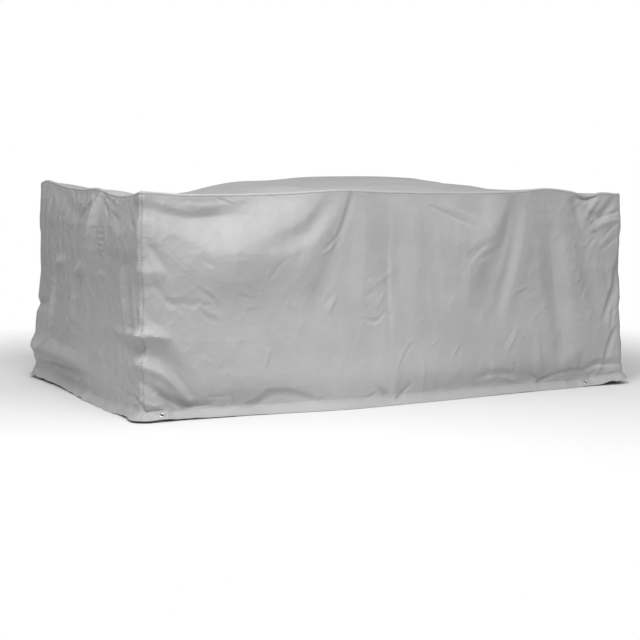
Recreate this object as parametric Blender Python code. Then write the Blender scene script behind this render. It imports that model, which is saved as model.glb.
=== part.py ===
"""A fitted cover for a garden furniture set: a top panel, four walls and four
eyelet hems of coated cloth, as they hang over the set, and eight metal eyelets.

Metres, +Z up. The origin is on the ground under the middle of the cover, +X runs
along its length, and the front wall is on the -Y side.
"""
import math

import bmesh
import bpy
import numpy as np
from mathutils import Matrix, Vector

# Driving sizes
LENGTH = 2.42           # between the two end walls, at the top seam
WIDTH = 1.50            # between the two long walls, at the top seam
CORNER_RADIUS = 0.026   # plan radius of the upright corners
CLOTH = 0.0016          # panel and wall cloth
HEM_CLOTH = 0.0022      # the hem is turned double
HEM_HEIGHT = 0.052      # from the cloth's lower edge to the hem's upper edge
RIM_RADIUS = 0.011      # how far the top panel turns down over the edge
SEAM_GAP = 0.0005       # between two panels along a seam

# Eyelets
EYELET_SETBACK = 0.026  # centre to the cloth's lower edge, along the hem
BORE_RADIUS = 0.0060
BARREL_RADIUS = 0.0068
FLANGE_RADIUS = 0.0115
FLANGE_THICKNESS = 0.0010
WASHER_THICKNESS = 0.0006
CLEARANCE = 0.0003
EYELET_SIDES = 12
FLAT_HALF = 0.020       # the cloth lies flat this far around an eyelet's centre
FLAT_FADE = 0.032       # and is back in its folds this much further out

# Fineness of the meshes
CORNER_CELLS = 2        # cells in each half of a corner, on the plain walls
LONG_CELLS = 26         # cells between the eyelets of a long wall
SHORT_CELLS = 8         # and of an end wall
WALL_ROWS = (0.0, 0.045, 0.10, 0.16, 0.23, 0.30, 0.38, 0.47, 0.56, 0.65, 0.73, 0.81, 0.88, 0.945, 1.0)
HEM_ROWS = (0.0, 0.17, 0.82, 1.0)

CLOTH_COLOUR = (0.38, 0.38, 0.385, 1.0)
METAL_COLOUR = (0.82, 0.82, 0.80, 1.0)

# The four walls in the order they are sewn, seen from above and anticlockwise.
# Along a wall, a is the distance from its middle, to the right as one faces it.
WALLS = {
    # name: (half length, distance from the middle, direction of a, outward direction)
    "front": (LENGTH / 2, WIDTH / 2, (1, 0), (0, -1)),
    "right": (WIDTH / 2, LENGTH / 2, (0, 1), (1, 0)),
    "back": (LENGTH / 2, WIDTH / 2, (-1, 0), (0, 1)),
    "left": (WIDTH / 2, LENGTH / 2, (0, -1), (-1, 0)),
}

# How many degrees the hem leans out from upright, and how far the cloth hangs out from
# the straight box, in mm, at seven heights given as shares of the top seam's
LEVELS = (0.055, 0.135, 0.26, 0.50, 0.75, 0.91, 1.0)
HANG = (
    # wall, a, lean, crease, belly, low, middle, high, shoulder, seam
    ("front", -1.21, 38, 6, 6, 6, 0, 0, 0, 0),
    ("front", -1.11, 56, -8, 12, 14, 6, 4, -8, -14),
    ("front", -0.95, 50, 4, 26, 28, 14, 14, -28, -34),
    ("front", -0.78, 44, 18, 40, 36, 18, 22, -38, -54),
    ("front", -0.58, 40, 46, 56, 44, 22, 18, -14, -34),
    ("front", -0.35, 32, 78, 74, 52, 24, 10, 4, 2),
    ("front", 0.00, 34, 70, 78, 58, 32, 14, 4, -8),
    ("front", 0.35, 44, 40, 58, 50, 34, 24, 0, -12),
    ("front", 0.60, 50, 18, 44, 42, 20, 6, 2, 0),
    ("front", 0.85, 52, 10, 30, 30, 14, 6, 0, -8),
    ("front", 1.02, 56, -2, 20, 22, 8, 2, -2, -6),
    ("right", -0.75, 34, 6, 4, 4, 0, 0, 0, 0),
    ("right", -0.55, 36, 6, 12, 12, 6, 4, 0, -10),
    ("right", -0.20, 40, 10, 22, 20, 10, 6, 2, -22),
    ("right", 0.25, 38, 12, 26, 24, 12, 4, 0, -24),
    ("right", 0.62, 36, 8, 16, 14, 6, 0, 0, -8),
    ("back", -1.21, 36, 12, 10, 8, 0, 0, 0, 0),
    ("back", -1.05, 38, 14, 18, 14, 6, 2, 0, -4),
    ("back", -0.75, 40, 34, 44, 36, 16, 8, 4, -14),
    ("back", -0.30, 36, 58, 64, 46, 18, 6, 0, 0),
    ("back", 0.15, 38, 42, 52, 40, 16, 8, 2, -12),
    ("back", 0.65, 40, 32, 44, 34, 16, 14, -22, -38),
    ("back", 1.05, 38, 26, 32, 24, 8, 2, 0, -8),
    ("left", -0.75, 28, 44, 48, 34, 6, 0, 0, -4),
    ("left", -0.68, 24, 38, 42, 32, 10, 2, 0, -16),
    ("left", -0.35, 46, 2, 22, 24, 14, 4, -4, -32),
    ("left", -0.05, 46, 2, 24, 24, 16, 6, -2, -34),
    ("left", 0.25, 40, 6, 24, 22, 14, 8, 2, -30),
    ("left", 0.45, 36, 8, 20, 18, 10, 6, 0, -24),
    ("left", 0.63, 32, 6, 10, 10, 4, 2, 0, -12),
)

# Height of the cloth's lower edge, which clears the ground at the corners
FOOT = (
    # wall, a, height
    ("front", -1.21, 0.014),
    ("front", -1.11, 0.012),
    ("front", -0.98, 0.008),
    ("front", -0.75, 0.006),
    ("front", -0.40, 0.005),
    ("front", 0.00, 0.003),
    ("front", 0.35, 0.005),
    ("front", 0.60, 0.006),
    ("front", 0.95, 0.003),
    ("right", -0.75, 0.014),
    ("right", 0.00, 0.004),
    ("back", -1.21, 0.014),
    ("back", -0.40, 0.004),
    ("back", 0.50, 0.006),
    ("left", -0.75, 0.016),
    ("left", 0.00, 0.005),
    ("left", 0.45, 0.004),
)

# Height of the top seam, which dips between what holds it up
SEAM = (
    # wall, a, height
    ("front", -1.21, 0.912),
    ("front", -1.04, 0.903),
    ("front", -0.85, 0.902),
    ("front", -0.55, 0.909),
    ("front", -0.34, 0.921),
    ("front", -0.05, 0.914),
    ("front", 0.28, 0.911),
    ("front", 0.60, 0.916),
    ("front", 0.81, 0.927),
    ("front", 0.93, 0.914),
    ("front", 1.02, 0.896),
    ("front", 1.09, 0.908),
    ("right", -0.75, 0.902),
    ("right", -0.25, 0.912),
    ("right", 0.25, 0.918),
    ("back", -1.21, 0.938),
    ("back", -1.08, 0.957),
    ("back", -0.98, 0.984),
    ("back", -0.85, 0.993),
    ("back", -0.50, 0.997),
    ("back", -0.25, 0.991),
    ("back", -0.05, 0.974),
    ("back", 0.20, 0.960),
    ("back", 0.32, 0.938),
    ("back", 0.45, 0.908),
    ("back", 0.85, 0.898),
    ("back", 1.08, 0.938),
    ("left", -0.75, 0.970),
    ("left", -0.60, 0.960),
    ("left", -0.40, 0.938),
    ("left", -0.16, 0.926),
    ("left", 0.10, 0.927),
    ("left", 0.20, 0.918),
    ("left", 0.30, 0.904),
    ("left", 0.45, 0.897),
    ("left", 0.62, 0.902),
)

# Folds that run along a line through three places (a, z), each a ridge where its
# rise is positive and a trough where it is negative. A fold fades out over the first
# width on its left as one follows the line, and over the second on its right.
FOLDS = (
    # wall, a0, z0, a1, z1, a2, z2, rise0, rise1, rise2 (mm), left, right
    # the long swag hanging between the near corner and the first support
    ("front", -1.22, 0.875, -1.03, 0.814, -0.78, 0.828, -4, -20, -2, 0.040, 0.080),
    ("front", -1.21, 0.830, -0.87, 0.670, -0.36, 0.900, 2, 26, 4, 0.150, 0.100),
    ("front", -0.34, 0.905, -0.44, 0.790, -0.62, 0.700, -8, -18, -3, 0.045, 0.045),
    # folds pulled down from the support at a = -0.32
    ("front", -0.31, 0.915, -0.42, 0.740, -0.56, 0.480, 6, 16, 3, 0.045, 0.050),
    ("front", -0.27, 0.905, -0.32, 0.680, -0.47, 0.330, -8, -20, -4, 0.048, 0.048),
    ("front", -0.22, 0.900, -0.235, 0.620, -0.31, 0.320, 6, 16, 4, 0.048, 0.048),
    ("front", -0.16, 0.890, -0.165, 0.640, -0.19, 0.380, -6, -14, -3, 0.048, 0.055),
    ("front", 0.05, 0.850, 0.05, 0.560, 0.06, 0.280, 2, 8, 2, 0.055, 0.055),
    ("front", 0.12, 0.780, 0.13, 0.620, 0.16, 0.400, -2, -8, -2, 0.055, 0.055),
    # creases and flat-footed wedges beside the near corner
    ("front", -1.21, 0.790, -1.16, 0.690, -1.10, 0.580, -2, -12, -3, 0.045, 0.040),
    ("front", -1.22, 0.605, -1.15, 0.600, -1.08, 0.580, 1, 13, 0, 0.080, 0.035),
    ("front", -1.21, 0.345, -1.14, 0.345, -1.06, 0.320, 2, 19, 1, 0.110, 0.035),
    ("front", -1.25, 0.295, -1.12, 0.245, -1.03, 0.100, -3, -24, -6, 0.040, 0.050),
    ("front", -1.26, 0.245, -1.13, 0.190, -1.04, 0.080, 1, 18, 4, 0.040, 0.040),
    # the belly of the front wall over its hem
    ("front", -0.86, 0.060, -0.78, 0.025, -0.68, 0.060, -3, -14, -3, 0.045, 0.045),
    ("front", -0.70, 0.100, -0.57, 0.130, -0.42, 0.090, 2, 14, 2, 0.050, 0.045),
    ("front", -0.10, 0.200, -0.10, 0.120, -0.10, 0.040, -2, -10, -10, 0.050, 0.050),
    # folds pulled down from the support at a = 0.6, and the pocket beside them
    ("front", 0.10, 0.870, 0.24, 0.835, 0.38, 0.780, -1, -10, -2, 0.040, 0.040),
    ("front", 0.51, 0.900, 0.50, 0.730, 0.33, 0.690, 6, 24, 3, 0.045, 0.140),
    ("front", 0.56, 0.890, 0.53, 0.710, 0.44, 0.420, -8, -20, -4, 0.048, 0.060),
    ("front", 0.645, 0.900, 0.60, 0.580, 0.44, 0.290, 6, 16, 4, 0.050, 0.048),
    # the deep fold and its ridge on the right of the front wall
    ("front", 0.74, 0.900, 0.755, 0.520, 0.83, 0.160, -8, -22, -6, 0.050, 0.050),
    ("front", 0.80, 0.860, 0.85, 0.560, 0.95, 0.150, 4, 18, 6, 0.045, 0.055),
    ("front", 0.93, 0.800, 1.00, 0.540, 1.10, 0.280, -4, -15, -4, 0.070, 0.070),
    # the far top corner
    ("front", 0.90, 0.880, 0.95, 0.850, 0.97, 0.780, -6, -16, -3, 0.040, 0.040),
    ("front", 1.01, 0.820, 1.10, 0.800, 1.18, 0.900, -2, -16, -2, 0.040, 0.040),
    ("front", 1.20, 0.540, 1.16, 0.420, 1.11, 0.300, -2, -12, -3, 0.040, 0.035),
    # the left end: folds from its own support, and the wedge that crosses the corner
    ("left", 0.165, 0.900, 0.12, 0.730, 0.02, 0.575, 8, 22, 12, 0.048, 0.055),
    ("left", -0.05, 0.585, -0.09, 0.470, -0.13, 0.380, 8, 20, 10, 0.048, 0.055),
    ("left", -0.13, 0.385, -0.23, 0.320, -0.38, 0.220, 7, 18, 4, 0.048, 0.050),
    ("left", -0.34, 0.885, -0.16, 0.840, 0.01, 0.850, -5, -20, -3, 0.040, 0.070),
    ("left", -0.26, 0.600, -0.44, 0.560, -0.46, 0.340, 3, 17, 8, 0.048, 0.048),
    ("left", -0.48, 0.310, -0.54, 0.205, -0.68, 0.145, 7, 16, 3, 0.048, 0.045),
    ("left", -0.76, 0.370, -0.66, 0.380, -0.54, 0.390, -4, -16, -3, 0.045, 0.055),
    ("left", 0.52, 0.600, 0.55, 0.470, 0.58, 0.370, 4, 18, 5, 0.060, 0.040),
    ("left", 0.42, 0.350, 0.61, 0.345, 0.74, 0.345, 1, 20, 3, 0.080, 0.035),
    ("left", 0.55, 0.190, 0.65, 0.210, 0.75, 0.250, 2, 14, 1, 0.045, 0.040),
    # the right end and the back, which hang in the same way
    ("right", -0.62, 0.880, -0.45, 0.600, -0.38, 0.250, 4, 14, 4, 0.060, 0.060),
    ("right", -0.10, 0.900, -0.02, 0.620, 0.10, 0.300, -4, -16, -4, 0.065, 0.065),
    ("right", 0.30, 0.900, 0.26, 0.640, 0.20, 0.320, 4, 14, 4, 0.060, 0.060),
    ("right", 0.62, 0.800, 0.50, 0.480, 0.48, 0.150, -3, -14, -4, 0.060, 0.060),
    ("back", -0.92, 0.980, -0.98, 0.650, -1.04, 0.250, 4, 16, 5, 0.065, 0.065),
    ("back", -0.84, 0.980, -0.72, 0.660, -0.52, 0.360, -4, -20, -4, 0.070, 0.070),
    ("back", -0.18, 0.980, -0.16, 0.640, -0.10, 0.280, 4, 18, 5, 0.070, 0.065),
    ("back", 0.18, 0.950, 0.30, 0.700, 0.56, 0.520, -4, -20, -4, 0.065, 0.065),
    ("back", 0.30, 0.900, 0.76, 0.700, 1.12, 0.910, 3, 26, 3, 0.150, 0.100),
    ("back", 0.20, 0.600, 0.24, 0.360, 0.30, 0.120, 3, 14, 5, 0.065, 0.065),
)

# Soft hollows and swells of the top panel between what holds it up
TOP_FORMS = (
    # x, y, half length, half width, rise (mm)
    (-0.78, -0.34, 0.42, 0.38, -42),
    (0.10, -0.30, 0.46, 0.34, -30),
    (0.80, -0.26, 0.38, 0.42, -34),
    (-0.72, 0.38, 0.42, 0.32, -26),
    (0.50, 0.42, 0.60, 0.26, 16),
    (-0.30, 0.06, 0.20, 0.55, 12),
)

# Eyelets: their wall and place along it
EYELETS = (
    # name, wall, a
    ("front_left", "front", -1.135),
    ("front_right", "front", 1.00),
    ("right_front", "right", -0.62),
    ("right_back", "right", 0.62),
    ("back_right", "back", -1.07),
    ("back_left", "back", 1.07),
    ("left_back", "left", -0.69),
    ("left_front", "left", 0.63),
)


# ---- the outline in plan: a rounded rectangle walked anticlockwise ----

def wall_reach(wall):
    """Half of a wall's length along the cloth, to the middle of each corner."""
    return WALLS[wall][0] - CORNER_RADIUS + CORNER_RADIUS * math.pi / 4


def wall_middle(wall):
    """Where a wall's middle comes in the walk around the cover."""
    names = list(WALLS)
    before = names[: names.index(wall)]
    return sum(2 * wall_reach(name) for name in before) + wall_reach(wall)


GIRTH = sum(2 * wall_reach(name) for name in WALLS)


def outline(s):
    """Points of the plan outline and its outward directions, at distances s around it."""
    s = np.mod(np.asarray(s, float), GIRTH)
    point = np.zeros(s.shape + (2,))
    outward = np.zeros(s.shape + (2,))
    for wall, (half, depth, along, out) in WALLS.items():
        a = s - wall_middle(wall)
        here = np.abs(a) <= wall_reach(wall) + 1e-9
        straight = half - CORNER_RADIUS
        turn = np.clip((np.abs(a) - straight) / CORNER_RADIUS, 0, math.pi / 4)
        run = np.where(np.abs(a) < straight, a, np.sign(a) * (straight + CORNER_RADIUS * np.sin(turn)))
        drop = depth - CORNER_RADIUS * (1 - np.cos(turn))
        along, out = np.array(along, float), np.array(out, float)
        spot = run[..., None] * along + drop[..., None] * out
        face = np.cos(turn)[..., None] * out + (np.sign(a) * np.sin(turn))[..., None] * along
        point[here] = spot[here]
        outward[here] = face[here]
    return point, outward


# ---- the way the cloth hangs ----

def smooth(x):
    x = np.clip(x, 0, 1)
    return x * x * (3 - 2 * x)


def through(knots, values, x):
    """A smooth curve through values at rising knots, read at x."""
    slopes = np.gradient(values, knots, axis=0)
    i = np.clip(np.searchsorted(knots, x, side="right") - 1, 0, len(knots) - 2)
    step = knots[i + 1] - knots[i]
    t = np.clip((x - knots[i]) / step, 0, 1)
    return (
        values[i] * (1 + 2 * t) * (1 - t) ** 2
        + slopes[i] * step * t * (1 - t) ** 2
        + values[i + 1] * t * t * (3 - 2 * t)
        - slopes[i + 1] * step * t * t * (1 - t)
    )


def around(table, column, s):
    """A column of one of the tables above, smoothly joined up all round the cover."""
    knots = np.array([wall_middle(row[0]) + row[1] * wall_reach(row[0]) / WALLS[row[0]][0] for row in table])
    values = np.array([row[column] for row in table], float)
    knots = np.concatenate([knots - GIRTH, knots, knots + GIRTH])
    return through(knots, np.tile(values, 3), np.mod(s, GIRTH))


def steadied(s):
    """The same distances, but held still across the flat patch at each eyelet."""
    s = np.mod(np.asarray(s, float), GIRTH)
    held = s.copy()
    for name, wall, a in EYELETS:
        centre = wall_middle(wall) + a
        share = 1 - smooth((np.abs(s - centre) - FLAT_HALF) / FLAT_FADE)
        held += share * (centre - s)
    return held


def foot_height(s):
    return around(FOOT, 2, steadied(s))


def lean(s):
    return np.radians(around(HANG, 2, steadied(s)))


def seam_height(s):
    return around(SEAM, 2, s)


def hem_top(s):
    return foot_height(s) + HEM_HEIGHT * np.cos(lean(s))


def hang(s, z):
    """How far out the cloth hangs before its folds."""
    level = np.clip(z / seam_height(s), LEVELS[0], 1)
    rows = np.array([around(HANG, 3 + k, s) for k in range(len(LEVELS))]) / 1000
    knots = np.array(LEVELS)
    slopes = np.gradient(rows, knots, axis=0)
    i = np.clip(np.searchsorted(knots, level, side="right") - 1, 0, len(knots) - 2)
    step = knots[i + 1] - knots[i]
    t = (level - knots[i]) / step
    each = np.arange(len(s))
    return (
        rows[i, each] * (1 + 2 * t) * (1 - t) ** 2
        + slopes[i, each] * step * t * (1 - t) ** 2
        + rows[i + 1, each] * t * t * (3 - 2 * t)
        - slopes[i + 1, each] * step * t * t * (1 - t)
    )


def fold(row, s, z):
    """The rise of one fold at each place (s, z)."""
    wall, a0, z0, a1, z1, a2, z2, rise0, rise1, rise2, left, right = row
    t = np.linspace(0, 1, 17)
    before, middle, after = (1 - t) * (1 - 2 * t), 4 * t * (1 - t), t * (2 * t - 1)
    line_a = before * a0 + middle * a1 + after * a2
    line_z = before * z0 + middle * z1 + after * z2
    rises = before * rise0 + middle * rise1 + after * rise2
    ds = np.mod(s - wall_middle(wall) + GIRTH / 2, GIRTH) - GIRTH / 2
    nearest = np.full(s.shape, np.inf)
    rise = np.zeros(s.shape)
    for k in range(len(t) - 1):
        run_a, run_z = line_a[k + 1] - line_a[k], line_z[k + 1] - line_z[k]
        length = math.hypot(run_a, run_z)
        da, dz = ds - line_a[k], z - line_z[k]
        u = np.clip((da * run_a + dz * run_z) / length ** 2, 0, 1)
        off_a, off_z = da - u * run_a, dz - u * run_z
        away = np.hypot(off_a, off_z)
        width = np.where(run_a * dz - run_z * da > 0, left, right)
        shape = np.clip(1 - (away / width) ** 2, 0, 1) ** 2
        closer = away < nearest
        nearest = np.where(closer, away, nearest)
        rise = np.where(closer, shape * (rises[k] + u * (rises[k + 1] - rises[k])), rise)
    return rise / 1000


def folded(s, z):
    """How far out the cloth hangs, with its folds."""
    total = hang(s, z)
    for row in FOLDS:
        total = total + fold(row, s, z)
    return total


def reach_out(s, z):
    """How far out a wall hangs. Its lower edge follows the hem, which lies flat at the eyelets."""
    top = hem_top(s)
    held = folded(steadied(s), top) - folded(s, top)
    return folded(s, z) + held * (1 - smooth((z - top) / FLAT_FADE))


def wall_skin(s, z):
    """Points of the outer face of the walls, at heights z."""
    point, outward = outline(s)
    return np.column_stack([point + outward * reach_out(s, z)[:, None], z])


def hem_skin(s, down):
    """Points of the outer face of the hems, at distances down from their upper edge."""
    point, outward = outline(s)
    top, tilt = hem_top(s), lean(s)
    out = reach_out(s, top) + down * np.sin(tilt)
    return np.column_stack([point + outward * out[:, None], top - down * np.cos(tilt)])


def unit(vectors):
    return vectors / np.linalg.norm(vectors, axis=1)[:, None]


def wall_facing(s, z, step=0.003):
    """Outward directions of the walls."""
    run = wall_skin(s + step, z) - wall_skin(s - step, z)
    rise = wall_skin(s, z + step) - wall_skin(s, z - step)
    return unit(np.cross(run, rise))


def hem_facing(s, down, step=0.003):
    """Outward directions of the hems, which share the wall's where the two are sewn."""
    run = hem_skin(s + step, down) - hem_skin(s - step, down)
    rise = hem_skin(s, down - step) - hem_skin(s, down + step)
    own = unit(np.cross(run, rise))
    return np.where((down < 0.001)[:, None], seam_facing(s), own)


def seam_facing(s):
    """Halfway between the directions of a wall and its hem, along the seam between them."""
    down = np.full(len(s), 0.004)
    run = hem_skin(s + down, down) - hem_skin(s - down, down)
    rise = hem_skin(s, down - 0.003) - hem_skin(s, down + 0.003)
    return unit(unit(np.cross(run, rise)) + wall_facing(s, hem_top(s) + down))


# ---- meshes ----

def make_material(name, colour, roughness, metallic):
    material = bpy.data.materials.new(name)
    material.use_nodes = True
    shader = material.node_tree.nodes["Principled BSDF"]
    shader.inputs["Base Color"].default_value = colour
    shader.inputs["Roughness"].default_value = roughness
    shader.inputs["Metallic"].default_value = metallic
    return material


def cloth_piece(name, points, normals, faces, thickness):
    """A closed sheet: the outer faces, the same faces set in by the thickness, and the edge."""
    count = len(points)
    verts = np.vstack([points, points - normals * thickness])
    edges = {}
    for face in faces:
        for a, b in zip(face, face[1:] + face[:1]):
            edges[a, b] = True
    rim = [(b, a, a + count, b + count) for a, b in edges if (b, a) not in edges]
    inner = [tuple(i + count for i in reversed(face)) for face in faces]
    mesh = bpy.data.meshes.new(name)
    mesh.from_pydata([tuple(v) for v in verts], [], list(faces) + inner + rim)
    mesh.update()
    tidy = bmesh.new()
    tidy.from_mesh(mesh)
    bmesh.ops.triangulate(tidy, faces=tidy.faces)
    tidy.to_mesh(mesh)
    tidy.free()
    mesh.shade_smooth()
    mesh.set_sharp_from_angle(angle=math.radians(50))
    cloth = bpy.data.objects.new(name, mesh)
    bpy.context.collection.objects.link(cloth)
    mesh.materials.append(make_material(name, CLOTH_COLOUR, 0.62, 0.0))
    return cloth


def columns(wall):
    """Distances around the cover of a wall's mesh columns, corner to corner.

    The front and the left end, which have the most folds, take twice as many."""
    half = WALLS[wall][0]
    straight, reach = half - CORNER_RADIUS, wall_reach(wall)
    spots = sorted(a for name, place, a in EYELETS if place == wall)
    middle_cells = LONG_CELLS if half > WIDTH / 2 else SHORT_CELLS
    marks = [
        (-reach, -straight, CORNER_CELLS),
        (-straight, spots[0] - FLAT_HALF, 1),
        (spots[0] - FLAT_HALF, spots[0] + FLAT_HALF, 1),
        (spots[0] + FLAT_HALF, spots[1] - FLAT_HALF, middle_cells),
        (spots[1] - FLAT_HALF, spots[1] + FLAT_HALF, 1),
        (spots[1] + FLAT_HALF, straight, 1),
        (straight, reach, CORNER_CELLS),
    ]
    fine = 2 if wall in ("front", "left") else 1
    places = [start + (end - start) * k / (cells * fine) for start, end, cells in marks for k in range(cells * fine)]
    places.append(reach)
    return wall_middle(wall) + np.array(places)


def grid_faces(rows, cols):
    """Quads of a grid that is stored row by row, rows going up and columns to the right."""
    return [
        (r * cols + c, r * cols + c + 1, (r + 1) * cols + c + 1, (r + 1) * cols + c)
        for r in range(rows - 1)
        for c in range(cols - 1)
    ]


def set_back(s):
    """The columns, with the first and last set back from the corner seams."""
    s = s.copy()
    s[0] += SEAM_GAP / 2
    s[-1] -= SEAM_GAP / 2
    return s


def make_wall(wall):
    s = set_back(columns(wall))
    grid = np.tile(s, len(WALL_ROWS))
    share = np.repeat(np.array(WALL_ROWS), len(s))
    low, high = hem_top(grid) + SEAM_GAP / 2, seam_height(grid)
    z = low + share * (high - low)
    normals = np.where((share == 0)[:, None], seam_facing(grid), wall_facing(grid, z))
    return cloth_piece(wall + "_wall", wall_skin(grid, z), normals, grid_faces(len(WALL_ROWS), len(s)), CLOTH)


def make_hem(wall):
    s = set_back(columns(wall))
    grid = np.tile(s, len(HEM_ROWS))
    down = np.repeat(SEAM_GAP / 2 + (HEM_HEIGHT - SEAM_GAP / 2) * (1 - np.array(HEM_ROWS)), len(s))
    points = hem_skin(grid, down)
    return cloth_piece(wall + "_hem", points, hem_facing(grid, down), grid_faces(len(HEM_ROWS), len(s)), HEM_CLOTH)


def eyelet_frame(wall, a):
    """The eyelet's place: its centre on the cloth's outer face, with +Z pointing out of it."""
    s = np.array([wall_middle(wall) + a])
    spot = hem_skin(s, np.array([HEM_HEIGHT - EYELET_SETBACK]))[0]
    outward, tilt = outline(s)[1][0], lean(s)[0]
    out_of_cloth = Vector((*(outward * math.cos(tilt)), math.sin(tilt)))
    along = Vector((*WALLS[wall][2], 0))
    turn = Matrix((along, out_of_cloth.cross(along), out_of_cloth)).transposed()
    return Matrix.LocRotScale(Vector(spot), turn, None)


def ring_mesh(name, profile):
    """A closed ring turned about +Z from a profile of (radius, height) points."""
    verts = []
    for side in range(EYELET_SIDES):
        angle = 2 * math.pi * side / EYELET_SIDES
        verts += [(r * math.cos(angle), r * math.sin(angle), z) for r, z in profile]
    count = len(profile)
    faces = []
    for side in range(EYELET_SIDES):
        here, there = side * count, (side + 1) % EYELET_SIDES * count
        for k in range(count):
            after = (k + 1) % count
            faces.append((here + k, there + k, there + after, here + after))
    mesh = bpy.data.meshes.new(name)
    mesh.from_pydata(verts, [], faces)
    mesh.update()
    return mesh


def make_eyelets(hems):
    """Eyelets clamped through the hems, and the holes they sit in."""
    back = -HEM_CLOTH - CLEARANCE
    profile = (
        (BORE_RADIUS, back - WASHER_THICKNESS),
        (FLANGE_RADIUS - 0.0005, back - WASHER_THICKNESS),
        (FLANGE_RADIUS - 0.0005, back),
        (BARREL_RADIUS, back),
        (BARREL_RADIUS, CLEARANCE),
        (FLANGE_RADIUS, CLEARANCE),
        (FLANGE_RADIUS - 0.0009, CLEARANCE + FLANGE_THICKNESS),
        (BORE_RADIUS + 0.0007, CLEARANCE + FLANGE_THICKNESS),
        (BORE_RADIUS, CLEARANCE + FLANGE_THICKNESS / 2),
    )
    metal = make_material("eyelet_metal", METAL_COLOUR, 0.3, 1.0)
    ring = ring_mesh("eyelet", profile)
    ring.materials.append(metal)
    for name, wall, a in EYELETS:
        place = eyelet_frame(wall, a)
        eyelet = bpy.data.objects.new("eyelet_" + name, ring)
        bpy.context.collection.objects.link(eyelet)
        eyelet.matrix_world = place
        hole_radius = BARREL_RADIUS + CLEARANCE / math.cos(math.pi / EYELET_SIDES)
        cutter_mesh = bpy.data.meshes.new("hole_" + name)
        punch = bmesh.new()
        bmesh.ops.create_cone(
            punch, cap_ends=True, segments=EYELET_SIDES, radius1=hole_radius, radius2=hole_radius, depth=0.016,
            matrix=Matrix.Rotation(math.pi / 2, 4, "Z"),
        )
        punch.to_mesh(cutter_mesh)
        punch.free()
        cutter = bpy.data.objects.new("hole_" + name, cutter_mesh)
        bpy.context.collection.objects.link(cutter)
        cutter.matrix_world = place
        cutter.hide_render = True
        cutter.display_type = "WIRE"
        cut = hems[wall].modifiers.new("hole_" + name, "BOOLEAN")
        cut.operation = "DIFFERENCE"
        cut.solver = "EXACT"
        cut.object = cutter


# ---- the top panel ----

def rim_point(s, turn):
    """Points of the turned-down rim, from the seam (turn 0) to the top (turn 90 degrees)."""
    point, outward = outline(s)
    out = reach_out(s, seam_height(s)) - RIM_RADIUS * (1 - math.cos(turn))
    z = seam_height(s) + SEAM_GAP + RIM_RADIUS * math.sin(turn)
    return np.column_stack([point + outward * out[:, None], z])


def rim_facing(s, turn):
    """Outward directions of the rim: the wall's own at the seam, then those of the turn."""
    if turn == 0:
        return wall_facing(s, seam_height(s))
    outward = outline(s)[1]
    return np.column_stack([outward * math.cos(turn), np.full(len(s), math.sin(turn))])


def top_height(x, y):
    """The rise of the top panel's hollows and swells, which fade out towards its rim."""
    rise = np.zeros_like(x)
    for cx, cy, half_x, half_y, height in TOP_FORMS:
        far = ((x - cx) / half_x) ** 2 + ((y - cy) / half_y) ** 2
        rise += height / 1000 * np.clip(1 - far, 0, 1) ** 2
    inward = np.minimum(LENGTH / 2 - np.abs(x), WIDTH / 2 - np.abs(y))
    return rise * smooth((inward - 0.03) / 0.15)


def top_grid(sides):
    """The middle of the top panel, spanned between its four edges, as a grid of points."""
    front, right, back, left = [rim_point(side, math.pi / 2) for side in sides]
    back, left = back[::-1], left[::-1]
    across, deep = len(front), len(right)
    u = (front[:, 0] + LENGTH / 2) / LENGTH
    u = (u - u[0]) / (u[-1] - u[0])
    v = (right[:, 1] + WIDTH / 2) / WIDTH
    v = (v - v[0]) / (v[-1] - v[0])
    grid = np.zeros((deep, across, 3))
    for j in range(deep):
        for i in range(across):
            lengthwise = (1 - v[j]) * front[i] + v[j] * back[i]
            widthwise = (1 - u[i]) * left[j] + u[i] * right[j]
            corners = (1 - u[i]) * (1 - v[j]) * front[0] + u[i] * (1 - v[j]) * front[-1]
            corners = corners + (1 - u[i]) * v[j] * back[0] + u[i] * v[j] * back[-1]
            grid[j, i] = lengthwise + widthwise - corners
    grid[:, :, 2] += top_height(grid[:, :, 0], grid[:, :, 1])
    return grid


def make_top():
    """The top panel: a middle grid, and its rim down to the seam all round."""
    fine = [columns(wall)[:-1] for wall in WALLS]
    coarse = [columns(wall)[:: 2 if wall in ("front", "left") else 1] for wall in WALLS]
    grid = top_grid(coarse)
    deep, across = grid.shape[:2]
    points = [p for row in grid for p in row]
    faces = grid_faces(deep, across)
    edge = [i for i in range(across - 1)]
    edge += [across - 1 + across * j for j in range(deep - 1)]
    edge += [across * deep - 1 - i for i in range(across - 1)]
    edge += [across * (deep - 1 - j) for j in range(deep - 1)]
    loop_s = np.concatenate(fine)
    turns = (math.radians(48), 0.0)
    loops = []
    normals = {}
    for turn in turns:
        start = len(points)
        loops.append([start + k for k in range(len(loop_s))])
        points += list(rim_point(loop_s, turn))
        for k, normal in zip(loops[-1], rim_facing(loop_s, turn)):
            normals[k] = normal
    inner, k = [], 0
    for side, wall in zip(coarse, WALLS):
        per_cell = 2 if wall in ("front", "left") else 1
        for cell in range(len(side) - 1):
            inner.append((len(inner), k, per_cell))
            k += per_cell
    outer = loops[0]
    for cell, k, per_cell in inner:
        here, there = edge[cell], edge[(cell + 1) % len(edge)]
        ends = [outer[(k + step) % len(outer)] for step in range(per_cell + 1)]
        if per_cell == 1:
            faces.append((ends[0], ends[1], there, here))
        else:
            faces += [(here, ends[0], ends[1]), (here, ends[1], there), (there, ends[1], ends[2])]
    for k in range(len(loop_s)):
        after = (k + 1) % len(loop_s)
        faces.append((loops[1][k], loops[1][after], loops[0][after], loops[0][k]))
    points = np.array(points)
    return cloth_piece("top_panel", points, vertex_normals(points, faces, normals), faces, CLOTH)


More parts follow.
